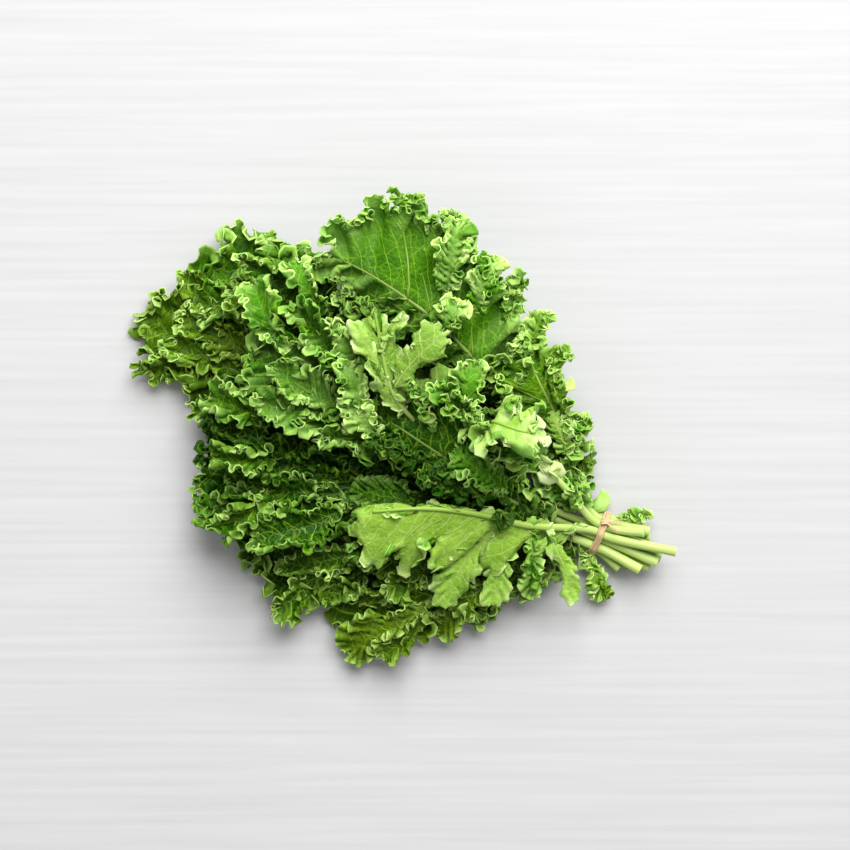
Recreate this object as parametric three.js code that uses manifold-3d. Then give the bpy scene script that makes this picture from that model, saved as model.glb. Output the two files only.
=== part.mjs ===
// A tied bunch of curly kale lying on its side, as picked and cut.
//
// Frame, in millimetres: +Z up, +X along the bunch towards the cut stem ends, +Y across it. The origin is
// at the middle of the bunch's footprint, on the surface that it rests on.
//
// Each leaf grew as one piece and is one node. Its stem runs from the cut end through the tie and along the
// underside of the blade as its rib. Its blade is a lobed wavy shell, which stands for the curled sheet.
import * as THREE from "three";
import { mergeVertices } from "three/addons/utils/BufferGeometryUtils.js";
import Module from "manifold-3d";

const wasm = await Module();
wasm.setup();

// ---- driving dimensions ----
const bladeThickness = 2.6; // of the shell that holds the curls; the real sheet is about 0.5
const clearance = 0.35; // between any two pieces
const ribReach = 0.86; // share of the blade's length that the rib runs along
const ribTipShare = 0.3; // the rib's radius at its tip, as a share of that at the tie
const stemSwell = 1.16; // the cut end is this much thicker than the stem at the tie
const stemFlat = 0.86; // a stem's height as a share of its width
const bladeLift = 0.5; // of the blade above the middle of its rib, as a share of the rib's radius
const waveHeight = 5; // of the ripple along a blade's edge
const waveSpacing = 44; // from crest to crest of that ripple
const sweep = 1.35; // how strongly the side veins lean towards the tip
const bladeSteps = 20; // along a blade
const bladeRows = [0.5, 1]; // from the rib to the edge, as a share of the half width
const stemSides = 8;
const stemStep = 24; // along a stem, from section to section
const spinePoints = 160; // at which a leaf's route is worked out
const tieWidth = 6;
const tieThickness = 1.1;
const tieSides = 36;
const tieStraight = 7; // the stems run straight for this far on each side of the tie's middle
const knotAngle = 58; // in degrees, from the +Y side of the tie up to its knot
const knotSize = [9, 6.5, 3.6]; // along the bunch, around the stems and outwards
const tailSize = [13, 3, 0.9]; // of each loose end of the tie
const tailTurns = [28, -24]; // in degrees, of each loose end away from the bunch's length
const tailLift = 14; // in degrees, of the loose ends off the bunch

// ---- colours ----
const leafColours = [0x3f6b2e, 0x4a7a33, 0x375f2a, 0x447030];
const undersideColour = 0x8fa872;
const tieColour = 0xb99a76;

// ---- the leaves, in millimetres from the middle of the tie, with z up from the surface ----
// end: the cut end. slot: y and z where the stem passes the tie. route: the stem from there to the blade's
// tip. stem: its radius at the tie. bare: the length of stem between tie and blade. width: the blade's half
// widths left and right of the rib, looking at the tip. rise and curl: the angle at which each half leaves
// the rib, and how much further it has bent at the edge, positive towards the upper side. roll: the turn
// about the rib at the blade's foot and tip, 180 with the underside up. lobes: how many on each side, and
// the depth of the notches between them as a share of the half width. wave: the edge ripple's start.
// A leaf gives way to those that are listed before it.
const leaves = [
  { name: "front", end: [52, 8, 26], slot: [0, 20.1],
    route: [[-50, -13, 40], [-84, -18, 52], [-120, -28, 60], [-172, -54, 56]],
    stem: 2.9, bare: 20, width: [12, 58], rise: [70, 10], curl: [40, 30], roll: [180, 180],
    lobes: [5, 0.5], wave: 0.2 },
  { name: "hand", end: [42, 5, 18.5], slot: [3.2, 14.7],
    route: [[-50, 4, 24], [-100, 12, 34], [-142, 22, 54], [-168, 36, 76], [-187, 62, 85], [-204, 90, 84]],
    stem: 2.9, bare: 170, width: [34, 30], rise: [4, 4], curl: [10, 14], roll: [180, 180],
    lobes: [3, 0.5], wave: 0.5 },
  { name: "fold", end: [27, 12, 25.5], slot: [6.4, 20.1],
    route: [[-40, 22, 38], [-84, 38, 56], [-100, 43, 74], [-82, 44, 86], [-62, 47, 82]],
    stem: 2.8, bare: 62, width: [34, 34], rise: [0, 0], curl: [-14, -14], roll: [0, 0],
    lobes: [4, 0.45], wave: 0.7 },
  { name: "centre", end: [44, -4, 18.5], slot: [-3.2, 14.7],
    route: [[-30, -3, 19], [-70, -1, 38], [-110, 7, 52], [-150, 15, 60], [-184, 22, 56]],
    stem: 2.9, bare: 40, width: [26, 52], rise: [-20, 18], curl: [-30, 20], roll: [0, 0],
    lobes: [4, 0.25], wave: 0.3 },
  { name: "top", end: [31, 14, 18.5], slot: [9.6, 14.7],
    route: [[-50, 34, 22], [-110, 70, 36], [-160, 92, 44], [-208, 104, 44],
      [-236, 107, 40], [-258, 107, 32]],
    stem: 2.9, bare: 100, width: [30, 71], rise: [-16, 6], curl: [-40, -10], roll: [0, 0],
    lobes: [4, 0.14], wave: 0 },
  { name: "left_up", end: [35, -13, 18.5], slot: [-9.6, 14.7],
    route: [[-35, -10, 18], [-85, 0, 28], [-165, 14, 42], [-230, 26, 50], [-274, 32, 46]],
    stem: 3.1, bare: 110, width: [46, 52], rise: [0, 0], curl: [20, 20], roll: [0, 0],
    lobes: [4, 0.2], wave: 0.6 },
  { name: "left", end: [41, -9.5, 11.5], slot: [-6.4, 9.3],
    route: [[-80, -18, 17], [-155, -32, 26], [-224, -46, 30], [-284, -60, 20]],
    stem: 2.9, bare: 75, width: [52, 48], rise: [2, 2], curl: [-10, -10], roll: [6, 0],
    lobes: [4, 0.2], wave: 0.9 },
  { name: "right_low", end: [25, 18, 12], slot: [12.8, 9.3],
    route: [[-22, 24, 17], [-42, 40, 22], [-56, 58, 21], [-64, 76, 13]],
    stem: 2.6, bare: 14, width: [26, 12], rise: [0, 0], curl: [-8, -8], roll: [0, 0],
    lobes: [3, 0.25], wave: 0.8 },
  { name: "bottom", end: [29, -14, 4.4], slot: [-9.6, 3.8],
    route: [[-42, -34, 9], [-82, -74, 14], [-112, -112, 12], [-142, -142, 2]],
    stem: 2.9, bare: 45, width: [32, 48], rise: [2, 2], curl: [-12, -12], roll: [4, 0],
    lobes: [3, 0.4], wave: 0.35 },
  { name: "upper_left", end: [46, -0.5, 11.5], slot: [0, 9.3],
    route: [[-85, 17, 14], [-175, 44, 18], [-250, 67, 19], [-332, 80, 8]],
    stem: 2.9, bare: 120, width: [46, 38], rise: [2, 2], curl: [-14, -14], roll: [4, 0],
    lobes: [4, 0.2], wave: 0.15 },
  { name: "far_left", end: [39, 4, 4.4], slot: [3.2, 3.8],
    route: [[-80, 4, 5], [-160, 8, 8], [-235, 13, 11], [-304, 20, 9], [-357, 24, 2]],
    stem: 2.9, bare: 145, width: [42, 46], rise: [2, 2], curl: [-18, -18], roll: [4, 0],
    lobes: [4, 0.2], wave: 0.55 },
  { name: "lower_left", end: [33, -5, 4.4], slot: [-3.2, 3.8],
    route: [[-60, -24, 6], [-120, -52, 10], [-182, -84, 10], [-236, -112, 2]],
    stem: 2.9, bare: 70, width: [42, 52], rise: [2, 2], curl: [-18, -18], roll: [4, 0],
    lobes: [4, 0.2], wave: 0.4 },
  { name: "bottom_right", end: [22, -18, 11], slot: [-12.8, 9.3],
    route: [[-22, -30, 9], [-42, -50, 10], [-60, -72, 8], [-76, -90, 2]],
    stem: 2.6, bare: 10, width: [21, 30], rise: [2, 2], curl: [-14, -14], roll: [4, 0],
    lobes: [3, 0.25], wave: 0.7 },
  { name: "top_right", end: [34, 9, 11.5], slot: [6.4, 9.3],
    route: [[-46, 36, 12], [-96, 76, 15], [-134, 106, 14], [-160, 136, 4]],
    stem: 2.9, bare: 50, width: [50, 33], rise: [6, 2], curl: [-14, -14], roll: [4, 0],
    lobes: [4, 0.2], wave: 0.25 },
  { name: "right", end: [24, 13, 4.4], slot: [9.6, 3.8],
    route: [[-28, 36, 9], [-58, 62, 34], [-84, 84, 46], [-104, 108, 42]],
    stem: 2.9, bare: 26, width: [44, 20], rise: [2, 2], curl: [-14, -14], roll: [4, 0],
    lobes: [4, 0.2], wave: 0.05 },
];

// Two leaflets beside the tie, each grown straight from the stem of a leaf. They have no stem of their own.
const leaflets = [
  { on: "bottom_right", route: [[-5, -15, 9], [5, -25, 11], [14, -34, 9], [22, -41, 4]],
    stem: 0.6, bare: 0, width: [10, 11], rise: [0, 0], curl: [10, 10], roll: [0, 0],
    lobes: [3, 0.3], wave: 0.2 },
  { on: "right_low", route: [[8, 14, 10], [15, 19, 14], [23, 22, 15], [31, 24, 12]],
    stem: 0.6, bare: 0, width: [7, 7], rise: [0, 0], curl: [12, 12], roll: [0, 0],
    lobes: [3, 0.3], wave: 0.6 },
];

// ---- a leaf's route, with a frame carried along it without twisting ----
function spineOf(leaf) {
  const atSlot = (x) => [x, ...leaf.slot];
  const start = leaf.slot ? [leaf.end, atSlot(tieStraight), atSlot(-tieStraight)] : [];
  const stops = [...start, ...leaf.route];
  const curve = new THREE.CatmullRomCurve3(stops.map((p) => new THREE.Vector3(...p)), false, "centripetal");
  const points = curve.getPoints(spinePoints);
  const lengths = [0];
  for (let i = 1; i < points.length; i++) {
    lengths.push(lengths[i - 1] + points[i].distanceTo(points[i - 1]));
  }
  const tangents = points.map((p, i) => {
    const before = points[Math.max(i - 1, 0)];
    const after = points[Math.min(i + 1, points.length - 1)];
    return new THREE.Vector3().subVectors(after, before).normalize();
  });
  const rights = [new THREE.Vector3().crossVectors(tangents[0], new THREE.Vector3(0, 0, 1)).normalize()];
  for (let i = 1; i < points.length; i++) {
    const carried = rights[i - 1].clone();
    rights.push(carried.addScaledVector(tangents[i], -carried.dot(tangents[i])).normalize());
  }
  const tie = leaf.slot ? lengths[points.findIndex((p) => p.x <= 0)] : 0;
  return { points, lengths, tangents, rights, tie, foot: tie + leaf.bare, total: lengths.at(-1) };
}

// The place, tangent, right side and upper side at a length along the route, turned by the leaf's roll.
function frameAt(leaf, spine, length) {
  const { points, lengths, tangents, rights } = spine;
  const found = lengths.findIndex((l) => l >= length);
  const i = found < 0 ? spinePoints : Math.max(found, 1);
  const share = (length - lengths[i - 1]) / (lengths[i] - lengths[i - 1]);
  const point = points[i - 1].clone().lerp(points[i], share);
  const tangent = tangents[i - 1].clone().lerp(tangents[i], share).normalize();
  const right = rights[i - 1].clone().lerp(rights[i], share).normalize();
  const along = THREE.MathUtils.clamp((length - spine.foot) / (spine.total - spine.foot), 0, 1);
  const roll = THREE.MathUtils.degToRad(THREE.MathUtils.lerp(...leaf.roll, along));
  right.applyAxisAngle(tangent, -roll);
  const up = new THREE.Vector3().crossVectors(right, tangent).normalize();
  return { point, tangent, right, up };
}

// ---- solids ----
function solidFrom(positions, triangles) {
  const geometry = new THREE.BufferGeometry();
  geometry.setAttribute("position", new THREE.Float32BufferAttribute(positions.flat(), 3));
  geometry.setIndex(triangles.flat());
  return solidOf(geometry);
}

function solidOf(geometry) {
  const bare = geometry.clone();
  bare.deleteAttribute("normal");
  bare.deleteAttribute("uv");
  const merged = mergeVertices(bare, 1e-4);
  return new wasm.Manifold(new wasm.Mesh({
    numProp: 3,
    vertProperties: new Float32Array(merged.attributes.position.array),
    triVerts: new Uint32Array(merged.index.array),
  }));
}

function geometryOf(solid) {
  const mesh = solid.getMesh();
  const positions = [];
  for (let i = 0; i < mesh.numVert; i++) {
    positions.push(...mesh.vertProperties.subarray(i * mesh.numProp, i * mesh.numProp + 3));
  }
  const geometry = new THREE.BufferGeometry();
  geometry.setAttribute("position", new THREE.Float32BufferAttribute(positions, 3));
  geometry.setIndex(new THREE.BufferAttribute(mesh.triVerts, 1));
  geometry.computeVertexNormals();
  return geometry;
}

function without(solid, cutters) {
  return cutters.reduce((left, cutter) => left.subtract(cutter), solid);
}

function largestBody(solid) {
  return solid.decompose().reduce((best, body) => (body.volume() > best.volume() ? body : best));
}

// ---- a stem: a tapering rib along the leaf's route ----
function stemRadius(leaf, spine, length) {
  if (leaf.slot && length < spine.tie) {
    return leaf.stem * THREE.MathUtils.lerp(stemSwell, 1, length / spine.tie);
  }
  const ribEnd = spine.foot + (spine.total - spine.foot) * ribReach;
  const share = Math.min((length - spine.tie) / (ribEnd - spine.tie), 1);
  return leaf.stem * THREE.MathUtils.lerp(1, ribTipShare, share);
}

function stemSolid(leaf, spine, grown) {
  const end = spine.foot + (spine.total - spine.foot) * ribReach;
  const [before, after] = [spine.tie - tieStraight, spine.tie + tieStraight];
  const lengths = [0, before / 2, before];
  const spans = Math.round((end - after) / stemStep);
  for (let i = 0; i <= spans; i++) lengths.push(THREE.MathUtils.lerp(after, end, i / spans));
  const steps = lengths.length - 1;
  const positions = [];
  const triangles = [];
  lengths.forEach((length, i) => {
    const { point, tangent, right, up } = frameAt(leaf, spine, length);
    const radius = stemRadius(leaf, spine, length) + grown;
    if (i === 0) point.addScaledVector(tangent, -grown);
    if (i === steps) point.addScaledVector(tangent, grown);
    for (let k = 0; k < stemSides; k++) {
      const angle = (2 * Math.PI * (k + 0.5)) / stemSides;
      const p = point.clone();
      p.addScaledVector(right, radius * Math.cos(angle));
      p.addScaledVector(up, radius * stemFlat * Math.sin(angle));
      positions.push(p.toArray());
    }
  });
  for (let i = 0; i < steps; i++) {
    for (let k = 0; k < stemSides; k++) {
      const next = (k + 1) % stemSides;
      const [a, b] = [i * stemSides + k, i * stemSides + next];
      const [c, d] = [a + stemSides, b + stemSides];
      triangles.push([a, c, b], [b, c, d]);
    }
  }
  const last = steps * stemSides;
  for (let k = 1; k < stemSides - 1; k++) {
    triangles.push([0, k, k + 1]);
    triangles.push([last, last + k + 1, last + k]);
  }
  return solidFrom(positions, triangles);
}

// ---- a blade: a lobed sheet on the rib's upper side, bent about it and rippled at the edge ----
// The margin at a share of the way from foot to tip: how far along the blade and how far out it is.
function edgeAt(u, width, [count, depth]) {
  const notch = 1 - depth * (0.5 + 0.5 * Math.cos(2 * Math.PI * count * u)) * (1 - u ** 4);
  const fullness = 1.4 * (0.1 + 0.9 * u ** 0.6) * Math.sqrt(Math.max(0, 1 - u ** 3.5));
  return { along: 1 - (1 - u) ** sweep, out: width * fullness * notch };
}

function bladePoint(leaf, spine, side, u, row, grown) {
  const half = side < 0 ? 0 : 1;
  const size = spine.total - spine.foot + 2 * grown;
  const width = leaf.width[half] + grown;
  const edge = edgeAt(u, width, leaf.lobes);
  const length = spine.foot - grown + size * ((1 - row) * ribReach * u + row * edge.along);
  const out = row * edge.out;
  const { point, right, up } = frameAt(leaf, spine, length);
  point.addScaledVector(up, bladeLift * stemRadius(leaf, spine, length));
  const rise = THREE.MathUtils.degToRad(leaf.rise[half]);
  const bend = THREE.MathUtils.degToRad(leaf.curl[half]) / width;
  const angle = rise + bend * out;
  point.addScaledVector(right, (side * (Math.sin(angle) - Math.sin(rise))) / bend);
  point.addScaledVector(up, (Math.cos(rise) - Math.cos(angle)) / bend);
  const turns = (size * edge.along) / waveSpacing + leaf.wave + 0.4 * half;
  const ripple = waveHeight * row ** 2 * Math.min(1, 4 * u) * Math.sin(2 * Math.PI * turns);
  point.addScaledVector(right, -side * Math.sin(angle) * ripple);
  return point.addScaledVector(up, Math.cos(angle) * ripple);
}

function bladeSolid(leaf, spine, grown) {
  const sheet = [];
  const faces = [];
  const rib = [];
  for (let i = 0; i <= bladeSteps; i++) {
    rib.push(sheet.push(bladePoint(leaf, spine, 1, i / bladeSteps, 0, grown)) - 1);
  }
  const tip = bladeRows.map((row) => sheet.push(bladePoint(leaf, spine, 1, 1, row, grown)) - 1);
  for (const side of [-1, 1]) {
    const rows = [rib];
    bladeRows.forEach((row, k) => {
      const line = [];
      for (let i = 0; i < bladeSteps; i++) {
        line.push(sheet.push(bladePoint(leaf, spine, side, i / bladeSteps, row, grown)) - 1);
      }
      rows.push([...line, tip[k]]);
    });
    for (let k = 1; k < rows.length; k++) {
      for (let i = 0; i < bladeSteps; i++) {
        const quad = [rows[k - 1][i], rows[k][i], rows[k][i + 1], rows[k - 1][i + 1]];
        if (side < 0) quad.reverse();
        faces.push([quad[0], quad[1], quad[2]], [quad[0], quad[2], quad[3]]);
      }
    }
  }
  return thickened(sheet, faces, bladeThickness + 2 * grown);
}

// A closed shell of this thickness around a sheet of triangles.
function thickened(sheet, faces, thickness) {
  const normals = sheet.map(() => new THREE.Vector3());
  for (const face of faces) {
    const [a, b, c] = face.map((i) => sheet[i]);
    const normal = new THREE.Triangle(a, b, c).getNormal(new THREE.Vector3());
    face.forEach((i) => normals[i].add(normal));
  }
  const count = sheet.length;
  const upper = sheet.map((p, i) => p.clone().addScaledVector(normals[i].normalize(), thickness / 2));
  const lower = sheet.map((p, i) => p.clone().addScaledVector(normals[i], -thickness / 2));
  const triangles = [];
  const edges = new Set(faces.flatMap(([a, b, c]) => [`${a},${b}`, `${b},${c}`, `${c},${a}`]));
  for (const [a, b, c] of faces) {
    triangles.push([a, b, c], [c + count, b + count, a + count]);
    for (const [from, to] of [[a, b], [b, c], [c, a]]) {
      if (edges.has(`${to},${from}`)) continue;
      triangles.push([from, from + count, to + count], [from, to + count, to]);
    }
  }
  return solidFrom([...upper, ...lower].map((p) => p.toArray()), triangles);
}

// ---- the tie: a taut band around the stems, and its knot ----
// The outline around the stems at the tie, this far out from them, with its points in order of angle.
function bandOutline(gap) {
  const outline = [];
  for (let k = 0; k < tieSides; k++) {
    const angle = (2 * Math.PI * k) / tieSides;
    const out = new THREE.Vector2(Math.cos(angle), Math.sin(angle));
    const reaches = leaves.map((leaf) => {
      const [y, z] = leaf.slot;
      const [a, b] = [leaf.stem * out.x, leaf.stem * stemFlat * out.y];
      const size = Math.hypot(a, b);
      const point = new THREE.Vector2(y + (leaf.stem * a) / size, z + (leaf.stem * stemFlat * b) / size);
      return point.addScaledVector(out, gap);
    });
    outline.push(reaches.reduce((best, p) => (p.dot(out) > best.dot(out) ? p : best)));
  }
  return outline;
}

function bandSolid(grown) {
  const shape = new THREE.Shape(bandOutline(clearance + tieThickness + grown));
  if (grown === 0) shape.holes.push(new THREE.Path(bandOutline(clearance)));
  const width = tieWidth + 2 * grown;
  const band = new THREE.ExtrudeGeometry(shape, { depth: width, bevelEnabled: false });
  band.translate(0, 0, -width / 2);
  const [x, y, z] = [new THREE.Vector3(1, 0, 0), new THREE.Vector3(0, 1, 0), new THREE.Vector3(0, 0, 1)];
  return solidOf(band.applyMatrix4(new THREE.Matrix4().makeBasis(y, z, x)));
}

// The knot is made lying flat, its +Z outwards, and then laid on the band at its own angle.
function knotSolid() {
  const knot = new THREE.SphereGeometry(0.5, 12, 8);
  knot.scale(...knotSize);
  let solid = solidOf(knot);
  for (const turn of tailTurns) {
    const tail = new THREE.BoxGeometry(...tailSize);
    tail.translate(tailSize[0] / 2, 0, 0);
    tail.rotateY(THREE.MathUtils.degToRad(-tailLift));
    tail.rotateZ(THREE.MathUtils.degToRad(turn));
    solid = solid.add(solidOf(tail));
  }
  const at = bandOutline(clearance + tieThickness)[Math.round((tieSides * knotAngle) / 360)];
  const geometry = geometryOf(solid);
  geometry.rotateX(THREE.MathUtils.degToRad(knotAngle - 90));
  geometry.translate(0, at.x, at.y);
  return solidOf(geometry);
}

// ---- the pieces, cut so that they clear each other ----
const pieces = [];
const grownStems = leaves.map((leaf) => stemSolid(leaf, spineOf(leaf), clearance));
const tie = without(bandSolid(0).add(knotSolid()), grownStems);
pieces.push({ name: "tie", colour: tieColour, solid: tie });

const above = [bandSolid(clearance)];
leaves.forEach((leaf, i) => {
  const spine = spineOf(leaf);
  const otherStems = grownStems.filter((stem, j) => j !== i);
  let blade = bladeSolid(leaf, spine, 0);
  let grownBlade = bladeSolid(leaf, spine, clearance);
  for (const leaflet of leaflets.filter((l) => l.on === leaf.name)) {
    blade = blade.add(bladeSolid(leaflet, spineOf(leaflet), 0));
    grownBlade = grownBlade.add(bladeSolid(leaflet, spineOf(leaflet), clearance));
  }
  const solid = largestBody(stemSolid(leaf, spine, 0).add(without(blade, [...otherStems, ...above])));
  const colour = leaf.roll[0] > 90 ? undersideColour : leafColours[i % leafColours.length];
  pieces.push({ name: `${leaf.name}_leaf`, colour, solid });
  above.push(grownBlade, solid);
});

// Whatever reaches the surface lies flat on it.
for (const piece of pieces) piece.solid = largestBody(piece.solid.trimByPlane([0, 0, 1], 0));

// The origin moves to the middle of the footprint.
const extent = new THREE.Box3();
for (const { solid } of pieces) {
  const { min, max } = solid.boundingBox();
  extent.union(new THREE.Box3(new THREE.Vector3(...min), new THREE.Vector3(...max)));
}
const middle = extent.getCenter(new THREE.Vector3());

const bunch = new THREE.Group();
bunch.name = "kale_bunch";
for (const { name, colour, solid } of pieces) {
  const geometry = geometryOf(solid);
  geometry.translate(-middle.x, -middle.y, -extent.min.z);
  const material = new THREE.MeshStandardMaterial({ color: colour, roughness: 0.55 });
  const mesh = new THREE.Mesh(geometry, material);
  mesh.name = name;
  bunch.add(mesh);
}

export default bunch;
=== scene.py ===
"""A bunch of curly kale tied with raffia, lying on a pale table.

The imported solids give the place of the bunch. Each leaf is grown here as one
thin sheet round its midrib: the sheet follows the leaf's own route, its margin
is waved and then let out to several times its length, so that it buckles into
frills. Lengths are in millimetres and angles in degrees until a mesh is made.
"""
import math

import bpy
import numpy as np
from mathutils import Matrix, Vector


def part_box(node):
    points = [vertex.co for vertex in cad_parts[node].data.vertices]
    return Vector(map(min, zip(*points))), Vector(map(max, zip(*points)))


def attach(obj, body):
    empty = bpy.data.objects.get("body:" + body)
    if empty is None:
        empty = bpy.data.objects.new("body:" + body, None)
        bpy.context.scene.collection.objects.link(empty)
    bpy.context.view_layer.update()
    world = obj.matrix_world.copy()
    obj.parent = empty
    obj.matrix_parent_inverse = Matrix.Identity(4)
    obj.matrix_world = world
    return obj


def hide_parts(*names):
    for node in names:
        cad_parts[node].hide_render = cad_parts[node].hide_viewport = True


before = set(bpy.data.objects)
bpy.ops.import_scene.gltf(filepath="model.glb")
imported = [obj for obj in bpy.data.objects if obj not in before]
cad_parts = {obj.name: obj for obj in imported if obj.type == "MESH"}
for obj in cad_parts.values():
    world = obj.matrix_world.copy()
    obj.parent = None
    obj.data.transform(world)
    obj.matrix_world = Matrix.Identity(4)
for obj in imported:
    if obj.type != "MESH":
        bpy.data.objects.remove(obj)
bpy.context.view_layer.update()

MM = 0.001
TAU = 2 * math.pi

# ---- the stems, as the solids have them ----

ROUTE_STEPS = 160
# stems run straight this far to each side of the tie
TIE_STRAIGHT = 7.0
# how much thicker a stem is at its cut end, and how flat
STEM_SWELL, STEM_FLAT = 1.16, 0.86
# the rib ends at this share of the blade and has this share of the stem's thickness
RIB_REACH, RIB_TIP = 0.86, 0.3
# the blade lies this share of the rib's thickness above its middle
BLADE_LIFT = 0.5
# half the length of the tie along the stems
KNOT_HALF = 4.5

# ---- the blades ----

# long waves of the whole blade
WAVE_HEIGHT, WAVE_SPACING = 5.0, 44.0
SHEET_THICKNESS = 0.55
FLOOR_GAP = 0.4

# distances between rows of vertices, from the margin inwards
ROW_STEPS = [1.5] * 6 + [2.2] * 5 + [3.0] * 4
INNER_ROW = 5.0
MARGIN_STEP = 1.8
# rows nearer to the margin than this have all, half and a quarter of its vertices,
# the others an eighth, so the margin's own come in blocks
FULL_BAND, HALF_BAND, QUARTER_BAND = 10.0, 21.0, 32.0
MARGIN_BLOCK = 16
# steps at which the margin's run is measured, up to the tip and in all
TIP_STEP, OUTLINE_STEPS = 1000, 2000

# how much longer than its base line the margin has grown, and how deep that goes
GROWTH = 3.0
GROWTH_REACH = 13.0
# spacing, height, lean and reach of each size of ruffle
RUFFLES = [(38, 8.0, 3.2, 38), (17, 5.8, 2.8, 30), (8, 3.6, 2.0, 17), (4.4, 1.6, 0.8, 8),
           (2.8, 0.9, 0.4, 5)]
# ruffles and growth reach no deeper than this share of a narrow blade
DEEPEST = 0.85
# how narrow the notches between lobes are where a leaf doesn't say
NOTCH_NARROW = 1.6
# side lobes end at this share of the blade's half width
LOBE_TIP = 0.96
LOBE_STEPS = 24
# steps on the blade from which a lobe's upright is taken, how far it is turned up,
# and how often the uprights are evened out
LOBE_PROBE, LOBE_UPRIGHT, LOBE_PASSES = (0.02, 0.04), 0.6, 8
# half the thickness of a lobe's vein, and how much thicker its rib is
LOBE_VEIN, LOBE_RIB = 0.7, 1.3
# how high lobes stand over the blade, and the shares of it that they vary between
LOBE_LIFT, LIFT_SPREAD = 13.0, (0.35, 1.5)
LOBE_FINENESS = 1.0
# spacing, depth and reach of the lobes and teeth that notch the margin
TEETH = [(24, 9.0, 18), (10, 4.5, 10), (4.5, 2.3, 5)]
# the most that the margin rolls up, how much and how often that varies, and how deep it goes
CURL, CURL_VARIES, CURL_SPACING = 80.0, 0.75, 26
CURL_BAND = 22.0
CURL_STEPS = 16
EVEN_PASSES = 60
SETTLE_STEPS, QUICK_STEPS = 110, 12
# how far a vertex moves in a step, and how strongly it is drawn back
SETTLE_RATE, HOME_PULL = 2.4, 0.002
# how stiffly the sheet keeps its slants, and its bends along and across the rows
SLANT_WEIGHT, BEND_ALONG, BEND_ACROSS = 0.5, 0.55, 0.6

# what a leaf, a lobe or a leaflet has where it gives nothing else. width, rise
# and curl are given for the left and right half, roll at foot and tip. sweep is
# how far the margin runs ahead of the rib, taper how much narrower the tip is.
# lobes is how many, how deep and how narrow the notches are, cup how strongly
# the margin curls, growth how much it frills. tint is how olive the leaf is,
# shade how dark its painted shade makes it inwards, dim how dark painted shade
# makes it throughout, for both halves or for each, rim_highlight_reach how wide
# its light rim is (partly its own paler margin, partly painted highlight), and
# fineness how far apart its vertices are.
LEAF = dict(
    stem=2.9, rise=(2, 2), curl=(-14, -14), roll=(4, 0), sweep=1.35, taper=0, teeth=1,
    lobes=(4, 0.2), cup=1, growth=1, tint=0, shade=0.5, dim=0, rim_highlight_reach=1, fineness=1.3,
    lobe_lift=1, over=(), tips=(), pale=False)

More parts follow.
